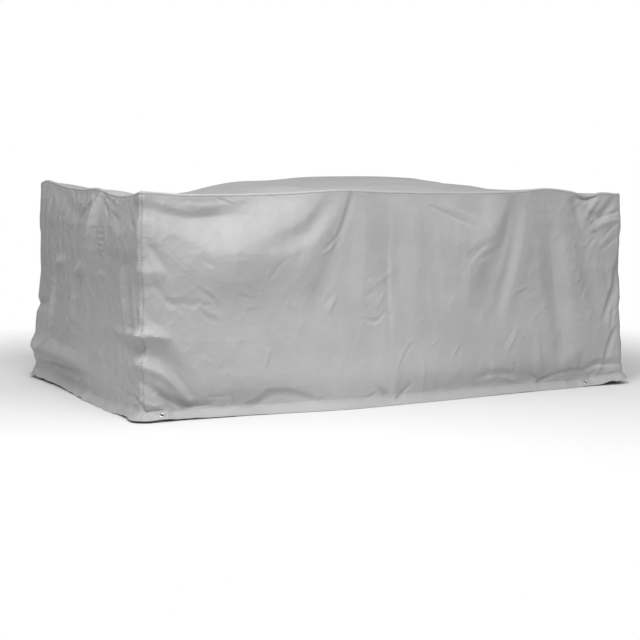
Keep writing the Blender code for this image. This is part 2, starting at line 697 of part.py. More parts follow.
def vertex_normals(points, faces, known):
    """The mean direction of the faces at each point, or the known one."""
    normals = np.zeros_like(points)
    for face in faces:
        corners = points[list(face)]
        normal = sum(np.cross(corners[k] - corners[0], corners[k + 1] - corners[0]) for k in range(1, len(face) - 1))
        normals[list(face)] += normal
    for k, normal in known.items():
        normals[k] = normal
    return normals / np.linalg.norm(normals, axis=1)[:, None]


def build():
    for thing in list(bpy.data.objects):
        bpy.data.objects.remove(thing, do_unlink=True)
    make_top()
    hems = {}
    for wall in WALLS:
        make_wall(wall)
        hems[wall] = make_hem(wall)
    make_eyelets(hems)


build()
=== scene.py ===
"""The looks of a fitted furniture cover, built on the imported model's frame."""
import math

import bpy
import numpy as np
from mathutils import Matrix, Vector


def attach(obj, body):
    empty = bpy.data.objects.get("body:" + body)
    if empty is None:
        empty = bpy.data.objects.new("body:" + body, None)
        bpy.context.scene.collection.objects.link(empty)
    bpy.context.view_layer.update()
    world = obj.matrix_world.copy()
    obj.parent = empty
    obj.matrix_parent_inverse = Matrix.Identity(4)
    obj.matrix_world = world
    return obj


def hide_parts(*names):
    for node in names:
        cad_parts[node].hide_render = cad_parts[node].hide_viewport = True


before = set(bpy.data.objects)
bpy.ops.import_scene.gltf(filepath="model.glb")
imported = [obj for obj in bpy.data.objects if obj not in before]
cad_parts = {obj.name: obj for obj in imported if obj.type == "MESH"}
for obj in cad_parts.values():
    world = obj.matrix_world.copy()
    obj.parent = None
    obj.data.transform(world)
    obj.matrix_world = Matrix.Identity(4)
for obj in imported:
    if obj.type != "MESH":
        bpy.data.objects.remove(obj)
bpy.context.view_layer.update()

# ---------------------------------------------------------------------------
# The four walls
# Each wall is one length of woven polyester with a soft coating on its face,
# sewn to the top panel and to its two neighbours. It hangs over the furniture
# and its folds run down from the few places that hold the top seam up.
# ---------------------------------------------------------------------------

# The plan of the cover at its top seam, walked anticlockwise, in metres
LENGTH = 2.42
WIDTH = 1.50
CORNER_RADIUS = 0.026
HEM_HEIGHT = 0.052

# Along a wall, a is the distance from its middle, to the right as one faces it
WALLS = {
    # name: (half length, distance from the middle, direction of a, outward direction)
    "front": (LENGTH / 2, WIDTH / 2, (1, 0), (0, -1)),
    "right": (WIDTH / 2, LENGTH / 2, (0, 1), (1, 0)),
    "back": (LENGTH / 2, WIDTH / 2, (-1, 0), (0, 1)),
    "left": (WIDTH / 2, LENGTH / 2, (0, -1), (-1, 0)),
}

# The hem lies flat this far on either side of each eyelet, then comes free over the next
# stretch
FLAT_HALF = 0.020
FLAT_FADE = 0.032
EYELETS = (
    # name, wall, a
    ("front_left", "front", -1.135),
    ("front_right", "front", 1.00),
    ("right_front", "right", -0.62),
    ("right_back", "right", 0.62),
    ("back_right", "back", -1.07),
    ("back_left", "back", 1.07),
    ("left_back", "left", -0.69),
    ("left_front", "left", 0.63),
)

# How many degrees the hem leans out from upright, and how far the cloth hangs out from
# the straight box, in mm, at seven heights given as shares of the top seam's
LEVELS = (0.055, 0.135, 0.26, 0.50, 0.75, 0.91, 1.0)
HANG = (
    # wall, a, lean, crease, belly, low, middle, high, shoulder, seam
    ("front", -1.21, 56, 2, 6, 6, 0, 0, 0, 0),
    ("front", -1.11, 56, -8, 12, 14, 6, 4, -8, -14),
    ("front", -0.95, 50, 4, 26, 28, 14, 14, -28, -34),
    ("front", -0.78, 44, 18, 40, 36, 18, 22, -38, -54),
    ("front", -0.58, 40, 46, 56, 44, 22, 18, -14, -34),
    ("front", -0.35, 32, 78, 74, 52, 24, 10, 4, 2),
    ("front", 0.00, 34, 70, 78, 58, 32, 14, 4, -8),
    ("front", 0.35, 44, 40, 58, 50, 34, 24, 0, -12),
    ("front", 0.60, 50, 18, 44, 42, 20, 6, 2, 0),
    ("front", 0.85, 52, 10, 30, 30, 14, 6, 0, -8),
    ("front", 1.02, 56, -2, 20, 22, 8, 2, -2, -6),
    ("right", -0.75, 30, 34, 30, 22, 10, 8, 8, 6),
    ("right", -0.55, 36, 6, 12, 12, 6, 4, 0, -10),
    ("right", -0.20, 40, 10, 22, 20, 10, 6, 2, -22),
    ("right", 0.25, 38, 12, 26, 24, 12, 4, 0, -24),
    ("right", 0.62, 36, 8, 16, 14, 6, 0, 0, -8),
    ("back", -1.21, 36, 12, 10, 8, 0, 0, 0, 0),
    ("back", -1.05, 38, 14, 18, 14, 6, 2, 0, -4),
    ("back", -0.75, 40, 34, 44, 36, 16, 8, 4, -14),
    ("back", -0.30, 36, 58, 64, 46, 18, 6, 0, 0),
    ("back", 0.15, 38, 42, 52, 40, 16, 8, 2, -12),
    ("back", 0.65, 40, 32, 44, 34, 16, 14, -22, -38),
    ("back", 1.05, 38, 26, 32, 24, 8, 2, 0, -8),
    ("left", -0.75, 28, 44, 48, 34, 6, 0, 0, -4),
    ("left", -0.68, 24, 38, 42, 32, 10, 2, 0, -16),
    ("left", -0.35, 46, 2, 22, 24, 14, 2, -12, -32),
    ("left", -0.05, 46, 2, 24, 24, 16, 4, -11, -34),
    ("left", 0.25, 40, 16, 24, 22, 14, 5, -7, -30),
    ("left", 0.45, 36, 14, 20, 18, 10, 4, -6, -24),
    ("left", 0.63, 32, 6, 10, 10, 4, 2, 0, -12),
)

# Height of the cloth's lower edge
FOOT = (
    # wall, a, height
    ("front", -1.21, 0.013),
    ("front", -1.11, 0.012),
    ("front", -0.98, 0.008),
    ("front", -0.75, 0.006),
    ("front", -0.40, 0.005),
    ("front", 0.00, 0.003),
    ("front", 0.35, 0.005),
    ("front", 0.60, 0.006),
    ("front", 0.95, 0.003),
    ("right", -0.75, 0.014),
    ("right", 0.00, 0.004),
    ("back", -1.21, 0.014),
    ("back", -0.40, 0.004),
    ("back", 0.50, 0.006),
    ("left", -0.75, 0.016),
    ("left", 0.00, 0.005),
    ("left", 0.45, 0.004),
)

# Height of the top seam, which dips between what holds it up
SEAM = (
    # wall, a, height
    ("front", -1.21, 0.912),
    ("front", -1.04, 0.903),
    ("front", -0.85, 0.902),
    ("front", -0.55, 0.909),
    ("front", -0.34, 0.921),
    ("front", -0.05, 0.914),
    ("front", 0.28, 0.911),
    ("front", 0.60, 0.916),
    ("front", 0.81, 0.927),
    ("front", 0.93, 0.914),
    ("front", 1.02, 0.896),
    ("front", 1.09, 0.908),
    ("right", -0.75, 0.902),
    ("right", -0.25, 0.912),
    ("right", 0.25, 0.918),
    ("back", -1.21, 0.938),
    ("back", -1.08, 0.957),
    ("back", -0.98, 0.984),
    ("back", -0.85, 0.993),
    ("back", -0.50, 0.997),
    ("back", -0.25, 0.991),
    ("back", -0.05, 0.974),
    ("back", 0.20, 0.960),
    ("back", 0.32, 0.938),
    ("back", 0.45, 0.908),
    ("back", 0.85, 0.898),
    ("back", 1.08, 0.938),
    ("left", -0.75, 0.956),
    ("left", -0.70, 0.968),
    ("left", -0.60, 0.960),
    ("left", -0.40, 0.938),
    ("left", -0.16, 0.926),
    ("left", 0.10, 0.927),
    ("left", 0.20, 0.918),
    ("left", 0.30, 0.904),
    ("left", 0.45, 0.897),
    ("left", 0.62, 0.902),
)


def wall_reach(wall):
    """Half of a wall's length along the cloth, to the middle of each corner."""
    return WALLS[wall][0] - CORNER_RADIUS + CORNER_RADIUS * math.pi / 4


def wall_middle(wall):
    """Where a wall's middle comes in the walk around the cover."""
    names = list(WALLS)
    before = names[: names.index(wall)]
    return sum(2 * wall_reach(name) for name in before) + wall_reach(wall)


GIRTH = sum(2 * wall_reach(name) for name in WALLS)


def past(s, place):
    """How far s is past a place, the short way around the cover."""
    return np.mod(s - place + GIRTH / 2, GIRTH) - GIRTH / 2


def corner_away(s):
    """The distance along the cloth to the nearest corner seam."""
    corners = np.array([wall_middle(wall) + wall_reach(wall) for wall in WALLS])
    return np.abs(past(s[:, None], corners)).min(axis=1)


def outline(s):
    """Points of the plan outline and its outward directions, at distances s around it."""
    s = np.mod(np.asarray(s, float), GIRTH)
    point = np.zeros(s.shape + (2,))
    outward = np.zeros(s.shape + (2,))
    for wall, (half, depth, along, out) in WALLS.items():
        a = s - wall_middle(wall)
        here = np.abs(a) <= wall_reach(wall) + 1e-9
        straight = half - CORNER_RADIUS
        turn = np.clip((np.abs(a) - straight) / CORNER_RADIUS, 0, math.pi / 4)
        run = np.where(np.abs(a) < straight, a, np.sign(a) * (straight + CORNER_RADIUS * np.sin(turn)))
        drop = depth - CORNER_RADIUS * (1 - np.cos(turn))
        along, out = np.array(along, float), np.array(out, float)
        spot = run[..., None] * along + drop[..., None] * out
        face = np.cos(turn)[..., None] * out + (np.sign(a) * np.sin(turn))[..., None] * along
        point[here] = spot[here]
        outward[here] = face[here]
    return point, outward


def hung(s, out, z):
    """Points at distances s around the cover, this far out from its plan and this high."""
    point, outward = outline(s)
    return np.column_stack([point + outward * out[:, None], z])


def smooth(x):
    """Eases from 0 to 1 as x does."""
    x = np.clip(x, 0, 1)
    return x * x * (3 - 2 * x)


def hermite(t, low, high, slope_low, slope_high):
    """A smooth curve from low to high as t goes from 0 to 1, with the given slopes."""
    return (
        low * (1 + 2 * t) * (1 - t) ** 2
        + slope_low * t * (1 - t) ** 2
        + high * t * t * (3 - 2 * t)
        - slope_high * t * t * (1 - t)
    )


def around(table, column, s):
    """A column of one of the tables above, smoothly joined up all round the cover."""
    knots = np.array([wall_middle(row[0]) + row[1] * wall_reach(row[0]) / WALLS[row[0]][0] for row in table])
    values = np.tile(np.array([row[column] for row in table], float), 3)
    knots = np.concatenate([knots - GIRTH, knots, knots + GIRTH])
    slopes = np.gradient(values, knots)
    x = np.mod(s, GIRTH)
    i = np.clip(np.searchsorted(knots, x, side="right") - 1, 0, len(knots) - 2)
    step = knots[i + 1] - knots[i]
    return hermite((x - knots[i]) / step, values[i], values[i + 1], slopes[i] * step, slopes[i + 1] * step)


def flat_share(gap):
    """How far the hem is held flat at a distance from an eyelet, from 0 to 1."""
    return 1 - smooth((np.abs(gap) - FLAT_HALF) / FLAT_FADE)


def steadied(s):
    """The same distances, but held still across the flat patch at each eyelet."""
    s = np.mod(np.asarray(s, float), GIRTH)
    held = s.copy()
    for name, wall, a in EYELETS:
        gap = past(s, wall_middle(wall) + a)
        held -= flat_share(gap) * gap
    return held


def lean(s):
    """The hem's lean from upright, in radians."""
    return np.radians(around(HANG, 2, steadied(s)))


def seam_height(s):
    """How high the top seam is."""
    return around(SEAM, 2, s)


def hem_top(s):
    """How high the hem's upper edge is, where the wall meets it."""
    return around(FOOT, 2, steadied(s)) + HEM_HEIGHT * np.cos(lean(s))


def hang(s, z):
    """How far out the cloth hangs before its folds."""
    level = np.clip(z / seam_height(s), LEVELS[0], 1)
    rows = np.array([around(HANG, 3 + k, s) for k in range(len(LEVELS))]) / 1000
    knots = np.array(LEVELS)
    slopes = np.gradient(rows, knots, axis=0)
    i = np.clip(np.searchsorted(knots, level, side="right") - 1, 0, len(knots) - 2)
    step = knots[i + 1] - knots[i]
    each = np.arange(len(s))
    t = (level - knots[i]) / step
    return hermite(t, rows[i, each], rows[i + 1, each], slopes[i, each] * step, slopes[i + 1, each] * step)


# Folds run along a line through three places (a, z), each a ridge where its rise is
# positive and a trough where it is negative. A fold fades out over the first width on
# its left as one follows the line, and over the second on its right. The last column
# is how sharply its crest is creased, from 0 for a soft roll to 1 for a crease.
FOLDS = {
    "front": (
        # a0, z0, a1, z1, a2, z2, rise0, rise1, rise2 (mm), left, right, sharp
        # the long swag between the near corner and the first support
        (-1.22, 0.866, -1.00, 0.814, -0.78, 0.828, -4, -14, -2, 0.036, 0.080, 0.3),
        (-1.20, 0.845, -0.87, 0.662, -0.37, 0.890, 3, 25, 5, 0.150, 0.320, 0.25),
        (-1.06, 0.872, -0.92, 0.862, -0.76, 0.882, 1, 3, 1, 0.020, 0.020, 0.2),
        (-0.86, 0.897, -0.83, 0.884, -0.80, 0.872, -2, -5, -1, 0.009, 0.009, 0.5),
        (-0.82, 0.898, -0.805, 0.886, -0.785, 0.878, 1, 4, 1, 0.008, 0.008, 0.5),
        (-0.62, 0.902, -0.595, 0.888, -0.57, 0.868, -2, -4, -1, 0.009, 0.009, 0.5),
        (-0.56, 0.897, -0.545, 0.884, -0.53, 0.868, -1, -3, -1, 0.008, 0.008, 0.5),
        (-0.345, 0.900, -0.455, 0.765, -0.66, 0.690, -5, -12, -3, 0.055, 0.055, 0.15),
        # folds pulled down from the support left of the middle
        (-0.32, 0.900, -0.43, 0.720, -0.56, 0.500, 4, 8, 3, 0.110, 0.060, 0.15),
        (-0.262, 0.908, -0.292, 0.815, -0.345, 0.690, -4, -8, -4, 0.030, 0.022, 0.4),
        (-0.34, 0.700, -0.39, 0.560, -0.47, 0.360, -1, -6, -2, 0.060, 0.060, 0.1),
        (-0.200, 0.900, -0.205, 0.620, -0.235, 0.400, 3, 10, 3, 0.125, 0.070, 0.4),
        (-0.078, 0.880, -0.076, 0.640, -0.084, 0.420, 0, -3, -1, 0.018, 0.060, 0.4),
        (-0.070, 0.690, -0.072, 0.560, -0.085, 0.400, 1, 4, 1, 0.012, 0.020, 0.6),
        (-0.086, 0.580, -0.088, 0.440, -0.092, 0.250, -1, -4, -1, 0.014, 0.034, 0.5),
        (-0.410, 0.655, -0.360, 0.688, -0.310, 0.745, 1, 4, 1, 0.010, 0.011, 0.6),
        (-0.420, 0.670, -0.375, 0.698, -0.330, 0.740, -1, -4, -1, 0.010, 0.010, 0.6),
        (-0.340, 0.485, -0.365, 0.440, -0.395, 0.400, 1, 4, 1, 0.011, 0.012, 0.5),
        (-0.355, 0.500, -0.390, 0.455, -0.410, 0.420, -1, -3, -1, 0.010, 0.010, 0.5),
        (-0.200, 0.490, -0.150, 0.530, -0.075, 0.577, 1, 3, 2, 0.011, 0.014, 0.5),
        (-0.190, 0.520, -0.165, 0.495, -0.150, 0.460, -1, -3, -1, 0.010, 0.010, 0.5),
        (-0.160, 0.420, -0.130, 0.455, -0.105, 0.500, 1, 3, 1, 0.010, 0.012, 0.5),
        (-0.225, 0.378, -0.160, 0.362, -0.115, 0.400, -1, -5, -2, 0.014, 0.011, 0.5),
        (-0.215, 0.360, -0.170, 0.345, -0.130, 0.355, 1, 3, 1, 0.011, 0.011, 0.5),
        # faint upright folds of the middle
        (-0.02, 0.800, -0.03, 0.560, 0.00, 0.300, -1, -3, -1, 0.035, 0.035, 0.0),
        (0.05, 0.850, 0.05, 0.560, 0.06, 0.280, 1, 5, 1, 0.055, 0.055, 0.1),
        (0.13, 0.780, 0.14, 0.620, 0.17, 0.400, -1, -5, -2, 0.055, 0.055, 0.1),
        (0.335, 0.630, 0.328, 0.520, 0.315, 0.400, 2, 8, 1, 0.110, 0.060, 0.2),
        (0.005, 0.265, -0.035, 0.225, -0.075, 0.165, 1, 3, 1, 0.009, 0.009, 0.5),
        (0.030, 0.270, -0.005, 0.235, -0.050, 0.180, -1, -3, -1, 0.009, 0.009, 0.5),
        (-0.030, 0.215, -0.065, 0.170, -0.080, 0.120, 1, 3, 1, 0.010, 0.010, 0.5),
        (0.155, 0.275, 0.135, 0.260, 0.120, 0.245, 1, 3, 1, 0.010, 0.010, 0.5),
        (0.285, 0.255, 0.245, 0.220, 0.215, 0.175, 1, 3, 1, 0.010, 0.010, 0.5),
        (0.270, 0.235, 0.255, 0.205, 0.240, 0.185, -1, -3, -1, 0.009, 0.009, 0.5),
        (0.068, 0.210, 0.066, 0.130, 0.062, 0.050, 0, 3, 2, 0.012, 0.030, 0.5),
        # creases and flat-footed wedges beside the near corner
        (-1.21, 0.775, -1.16, 0.685, -1.10, 0.592, -2, -8, -3, 0.030, 0.022, 0.5),
        (-1.235, 0.602, -1.16, 0.599, -1.09, 0.590, 6, 13, 1, 0.065, 0.060, 0.6),
        (-1.17, 0.570, -1.105, 0.485, -1.050, 0.452, -2, -7, -3, 0.030, 0.018, 0.5),
        (-1.08, 0.450, -1.055, 0.458, -1.030, 0.453, 1, 5, 1, 0.011, 0.010, 0.5),
        (-1.04, 0.474, -1.000, 0.460, -0.970, 0.476, -1, -5, -2, 0.014, 0.010, 0.5),
        (-0.970, 0.476, -0.945, 0.462, -0.915, 0.468, -2, -4, -1, 0.012, 0.010, 0.5),
        (-0.985, 0.534, -0.930, 0.500, -0.865, 0.435, -1, -6, -2, 0.017, 0.013, 0.6),
        (-0.980, 0.545, -0.935, 0.520, -0.905, 0.496, 1, 3, 1, 0.010, 0.010, 0.5),
        (-0.975, 0.450, -0.930, 0.410, -0.895, 0.390, -1, -5, -1, 0.014, 0.012, 0.5),
        (-0.940, 0.440, -0.905, 0.425, -0.870, 0.395, 1, 4, 1, 0.014, 0.012, 0.4),
        (-0.965, 0.650, -0.930, 0.632, -0.895, 0.620, -1, -4, -1, 0.012, 0.012, 0.5),
        (-0.850, 0.640, -0.790, 0.642, -0.720, 0.636, 0, 2, 0, 0.010, 0.012, 0.5),
        (-0.800, 0.500, -0.755, 0.486, -0.700, 0.475, -1, -3, -1, 0.010, 0.010, 0.5),
        (-0.780, 0.458, -0.740, 0.448, -0.710, 0.454, 1, 3, 1, 0.009, 0.010, 0.5),
        (-0.665, 0.555, -0.635, 0.600, -0.595, 0.640, -1, -3, -1, 0.014, 0.022, 0.5),
        (-0.670, 0.270, -0.675, 0.240, -0.690, 0.200, 1, 4, 1, 0.016, 0.016, 0.3),
        (-0.850, 0.180, -0.845, 0.150, -0.825, 0.125, -1, -3, -1, 0.010, 0.016, 0.5),
        (-1.215, 0.490, -1.165, 0.405, -1.105, 0.352, -3, -8, -2, 0.045, 0.030, 0.3),
        (-1.235, 0.348, -1.16, 0.344, -1.09, 0.330, 12, 23, 3, 0.055, 0.046, 0.8),
        (-1.25, 0.285, -1.125, 0.255, -1.01, 0.100, -10, -28, -17, 0.078, 0.036, 0.35),
        (-1.26, 0.245, -1.13, 0.190, -1.03, 0.090, 4, 20, 6, 0.034, 0.034, 0.35),
        (-1.22, 0.165, -1.14, 0.115, -1.08, 0.050, -5, -16, -7, 0.028, 0.032, 0.4),
        (-1.135, 0.105, -1.03, 0.050, -0.915, 0.050, -6, -16, -4, 0.036, 0.016, 0.5),
        (-1.075, 0.095, -1.045, 0.070, -1.005, 0.050, -4, -13, -5, 0.022, 0.012, 0.6),
        (-1.215, 0.056, -1.185, 0.034, -1.160, 0.012, -3, -9, -3, 0.010, 0.010, 0.6),
        (-1.205, 0.020, -1.190, 0.036, -1.170, 0.050, -2, -7, -2, 0.009, 0.009, 0.6),
        (-1.205, 0.080, -1.170, 0.062, -1.130, 0.066, 2, 5, 1, 0.014, 0.016, 0.4),
        (-0.935, 0.083, -0.89, 0.086, -0.84, 0.080, -1, -5, -1, 0.010, 0.009, 0.5),
        (-0.838, 0.095, -0.826, 0.070, -0.818, 0.045, -1, -5, -3, 0.012, 0.012, 0.5),
        # faint creases from being folded up in its packet
        (-1.10, 0.318, -0.85, 0.312, -0.58, 0.316, 0, 1.8, 0, 0.007, 0.010, 0.7),
        (-0.97, 0.352, -0.85, 0.348, -0.72, 0.348, 0, 1.2, 0, 0.009, 0.011, 0.7),
        (0.42, 0.306, 0.62, 0.302, 0.83, 0.306, 0, 1.4, 0, 0.008, 0.010, 0.7),
        # the belly of the wall over its hem
        (-0.800, 0.012, -0.730, 0.036, -0.665, 0.078, -3, -10, -6, 0.034, 0.028, 0.4),
        (-0.680, 0.082, -0.580, 0.082, -0.440, 0.036, -5, -10, -3, 0.026, 0.044, 0.3),
        (-0.168, 0.076, -0.132, 0.044, -0.100, 0.012, -3, -12, -9, 0.024, 0.012, 0.5),
        (0.005, 0.088, -0.040, 0.050, -0.078, 0.018, -2, -9, -8, 0.014, 0.018, 0.6),
        (-0.090, 0.120, -0.090, 0.070, -0.090, 0.020, 1, 7, 3, 0.034, 0.034, 0.3),
        (-0.25, 0.042, -0.21, 0.046, -0.165, 0.062, -1, -4, -2, 0.010, 0.010, 0.5),
        (0.37, 0.080, 0.47, 0.096, 0.62, 0.078, -3, -9, -1, 0.034, 0.014, 0.4),
        (0.640, 0.086, 0.700, 0.060, 0.735, 0.036, -1, -6, -5, 0.022, 0.012, 0.5),
        (0.440, 0.170, 0.450, 0.115, 0.440, 0.060, 1, 6, 2, 0.034, 0.030, 0.3),
        (0.580, 0.150, 0.576, 0.110, 0.560, 0.070, -1, -6, -2, 0.030, 0.026, 0.3),
        (0.705, 0.220, 0.712, 0.130, 0.735, 0.050, 2, 8, 4, 0.030, 0.044, 0.3),
        (0.860, 0.150, 0.872, 0.105, 0.880, 0.060, 1, 6, 2, 0.026, 0.030, 0.3),
        (0.970, 0.160, 0.975, 0.110, 0.960, 0.060, -1, -6, -2, 0.026, 0.030, 0.3),
        (1.100, 0.150, 1.096, 0.110, 1.080, 0.070, 1, 7, 2, 0.030, 0.026, 0.3),
        (0.715, 0.030, 0.750, 0.048, 0.82, 0.062, -4, -12, -3, 0.018, 0.014, 0.5),
        (0.82, 0.064, 0.90, 0.076, 0.99, 0.070, -2, -8, -2, 0.022, 0.012, 0.5),
        (0.99, 0.072, 1.08, 0.100, 1.19, 0.094, -3, -13, -7, 0.036, 0.016, 0.4),
        (0.52, 0.078, 0.56, 0.062, 0.62, 0.048, 1, 5, 1, 0.014, 0.014, 0.5),
        # folds pulled down from the support right of the middle, and the pocket beside them
        (0.130, 0.862, 0.240, 0.818, 0.370, 0.768, -2, -5, -4, 0.012, 0.011, 0.6),
        (0.115, 0.852, 0.125, 0.862, 0.140, 0.868, 1, 2, 1, 0.011, 0.011, 0.4),
        (0.180, 0.868, 0.270, 0.836, 0.370, 0.800, 0, 3, 1, 0.022, 0.014, 0.3),
        (0.540, 0.890, 0.475, 0.738, 0.335, 0.695, 6, 18, 4, 0.080, 0.135, 0.3),
        (0.330, 0.590, 0.395, 0.655, 0.490, 0.690, 2, 6, 2, 0.016, 0.095, 0.3),
        (0.575, 0.890, 0.520, 0.690, 0.400, 0.400, -4, -9, -3, 0.045, 0.090, 0.2),
        (0.605, 0.850, 0.560, 0.620, 0.452, 0.335, -3, -8, -4, 0.055, 0.070, 0.2),
        (0.660, 0.900, 0.625, 0.640, 0.525, 0.350, 3, 7, 3, 0.075, 0.045, 0.1),
        (0.655, 0.452, 0.690, 0.462, 0.730, 0.478, -1, -4, -1, 0.010, 0.010, 0.5),
        (0.575, 0.465, 0.620, 0.476, 0.660, 0.490, 1, 4, 1, 0.010, 0.010, 0.5),
        (0.600, 0.452, 0.635, 0.466, 0.665, 0.470, -1, -3, -1, 0.009, 0.009, 0.5),
        (0.520, 0.190, 0.555, 0.235, 0.590, 0.300, 1, 5, 2, 0.011, 0.012, 0.5),
        (0.505, 0.225, 0.530, 0.250, 0.560, 0.290, -1, -3, -1, 0.010, 0.010, 0.5),
        (0.630, 0.300, 0.645, 0.265, 0.665, 0.235, 1, 4, 1, 0.011, 0.011, 0.5),
        # the deep fold and its ridge on the right
        (0.785, 0.850, 0.815, 0.550, 0.868, 0.200, -3, -23, -12, 0.080, 0.095, 0.25),
        (0.870, 0.800, 0.915, 0.540, 0.985, 0.200, 1, 6, 4, 0.100, 0.050, 0.1),
        (0.950, 0.800, 1.020, 0.540, 1.110, 0.280, -3, -9, -3, 0.070, 0.070, 0.1),
        (0.800, 0.600, 0.812, 0.500, 0.830, 0.400, 0, 2, 0, 0.010, 0.010, 0.5),
        (0.940, 0.500, 0.955, 0.515, 0.970, 0.538, 1, 4, 1, 0.010, 0.010, 0.5),
        (0.925, 0.530, 0.945, 0.548, 0.955, 0.570, -1, -3, -1, 0.010, 0.010, 0.5),
        (0.965, 0.430, 0.985, 0.455, 1.000, 0.492, -1, -4, -1, 0.014, 0.010, 0.5),
        # the far top corner, where the cloth is slack
        (0.915, 0.880, 0.945, 0.850, 0.965, 0.780, -5, -12, -3, 0.034, 0.030, 0.4),
        (0.950, 0.900, 1.000, 0.884, 1.070, 0.898, -4, -14, -4, 0.010, 0.024, 0.5),
        (0.990, 0.780, 1.020, 0.830, 1.070, 0.890, 2, 8, 5, 0.026, 0.026, 0.4),
        (1.010, 0.818, 1.090, 0.806, 1.170, 0.896, -2, -13, -2, 0.034, 0.030, 0.4),
        (1.005, 0.752, 1.080, 0.795, 1.190, 0.830, -1, -8, -3, 0.014, 0.013, 0.5),
        (1.040, 0.738, 1.100, 0.772, 1.190, 0.790, 1, 6, 3, 0.016, 0.018, 0.3),
        (1.030, 0.720, 1.060, 0.730, 1.090, 0.700, -1, -6, -2, 0.014, 0.014, 0.5),
        (1.000, 0.640, 1.030, 0.680, 1.060, 0.715, -1, -5, -2, 0.012, 0.016, 0.5),
        (1.110, 0.715, 1.140, 0.740, 1.180, 0.770, -1, -6, -2, 0.013, 0.011, 0.5),
        (1.100, 0.650, 1.140, 0.675, 1.190, 0.705, -1, -6, -2, 0.015, 0.011, 0.5),
        (1.090, 0.670, 1.120, 0.700, 1.150, 0.715, 1, 4, 1, 0.012, 0.012, 0.5),
        (1.205, 0.640, 1.170, 0.460, 1.105, 0.300, -4, -18, -4, 0.036, 0.026, 0.4),
        (1.140, 0.620, 1.150, 0.510, 1.165, 0.440, 1, 5, 3, 0.030, 0.025, 0.2),
        (1.175, 0.400, 1.160, 0.330, 1.150, 0.260, -2, -8, -2, 0.014, 0.012, 0.5),
        (1.180, 0.270, 1.145, 0.210, 1.110, 0.120, -4, -14, -5, 0.026, 0.020, 0.5),
    ),
    "right": (
        (-0.62, 0.880, -0.45, 0.600, -0.38, 0.250, 4, 14, 4, 0.060, 0.060, 0.3),
        (-0.56, 0.900, -0.36, 0.680, -0.26, 0.400, -3, -10, -2, 0.050, 0.050, 0.3),
        (-0.10, 0.900, -0.02, 0.620, 0.10, 0.300, -4, -16, -4, 0.060, 0.060, 0.3),
        (0.30, 0.900, 0.26, 0.640, 0.20, 0.320, 4, 14, 4, 0.060, 0.055, 0.3),
        (0.38, 0.900, 0.36, 0.700, 0.33, 0.460, -3, -9, -2, 0.040, 0.040, 0.3),
        (0.62, 0.800, 0.50, 0.480, 0.48, 0.150, -3, -14, -4, 0.060, 0.060, 0.3),
        (-0.74, 0.420, -0.68, 0.400, -0.60, 0.390, 1, 9, 1, 0.050, 0.020, 0.5),
        (0.74, 0.560, 0.69, 0.520, 0.60, 0.505, 1, 8, 1, 0.020, 0.045, 0.5),
        (-0.30, 0.090, -0.10, 0.110, 0.12, 0.090, 1, 8, 1, 0.040, 0.030, 0.3),
        (0.05, 0.520, 0.09, 0.545, 0.14, 0.600, 1, 4, 1, 0.014, 0.014, 0.5),
        (-0.52, 0.180, -0.48, 0.215, -0.43, 0.230, 1, 4, 1, 0.014, 0.014, 0.5),
    ),
    "back": (
        (-0.92, 0.980, -0.98, 0.650, -1.04, 0.250, 4, 16, 5, 0.065, 0.060, 0.3),
        (-0.84, 0.980, -0.72, 0.660, -0.52, 0.360, -4, -20, -4, 0.068, 0.060, 0.3),
        (-0.78, 0.980, -0.62, 0.720, -0.40, 0.500, 2, 10, 2, 0.045, 0.050, 0.3),
        (-0.36, 0.980, -0.34, 0.720, -0.30, 0.420, -3, -10, -3, 0.050, 0.050, 0.2),
        (-0.18, 0.980, -0.16, 0.640, -0.10, 0.280, 4, 18, 5, 0.068, 0.060, 0.3),
        (0.00, 0.960, 0.02, 0.700, 0.06, 0.420, -3, -9, -2, 0.045, 0.050, 0.2),
        (0.18, 0.950, 0.30, 0.700, 0.56, 0.520, -4, -20, -4, 0.062, 0.060, 0.3),
        (0.30, 0.900, 0.76, 0.700, 1.12, 0.910, 3, 26, 3, 0.145, 0.100, 0.15),
        (0.20, 0.600, 0.24, 0.360, 0.30, 0.120, 3, 14, 5, 0.062, 0.060, 0.3),
        (1.20, 0.430, 1.14, 0.405, 1.06, 0.395, 1, 12, 1, 0.020, 0.080, 0.5),
        (-1.20, 0.560, -1.15, 0.540, -1.07, 0.535, 1, 10, 1, 0.060, 0.020, 0.5),
        (-0.40, 0.090, -0.22, 0.115, 0.02, 0.090, 1, 9, 1, 0.045, 0.032, 0.3),
        (0.62, 0.085, 0.78, 0.100, 0.98, 0.082, 1, 8, 1, 0.040, 0.030, 0.3),
        (-0.60, 0.300, -0.56, 0.330, -0.50, 0.345, 1, 4, 1, 0.016, 0.014, 0.5),
        (0.62, 0.350, 0.66, 0.390, 0.68, 0.440, 1, 5, 1, 0.016, 0.014, 0.5),
    ),
    "left": (
        # folds pulled down from the left end's own support
        (0.165, 0.905, 0.132, 0.740, 0.032, 0.580, 12, 36, 12, 0.042, 0.060, 0.3),
        (0.225, 0.890, 0.200, 0.790, 0.140, 0.690, -3, -7, -2, 0.030, 0.022, 0.3),
        (0.032, 0.580, -0.062, 0.556, -0.098, 0.440, 12, 26, 11, 0.036, 0.055, 0.3),
        (-0.098, 0.440, -0.125, 0.370, -0.170, 0.325, 11, 20, 8, 0.036, 0.055, 0.3),
        (-0.170, 0.325, -0.230, 0.285, -0.340, 0.225, 8, 13, 3, 0.034, 0.040, 0.3),
        (-0.160, 0.360, -0.165, 0.300, -0.185, 0.260, 1, 7, 2, 0.022, 0.022, 0.4),
        (-0.34, 0.885, -0.17, 0.830, 0.00, 0.842, -2, -7, -2, 0.046, 0.060, 0.2),
        (0.34, 0.705, 0.52, 0.690, 0.72, 0.700, 2, 12, 6, 0.150, 0.060, 0.15),
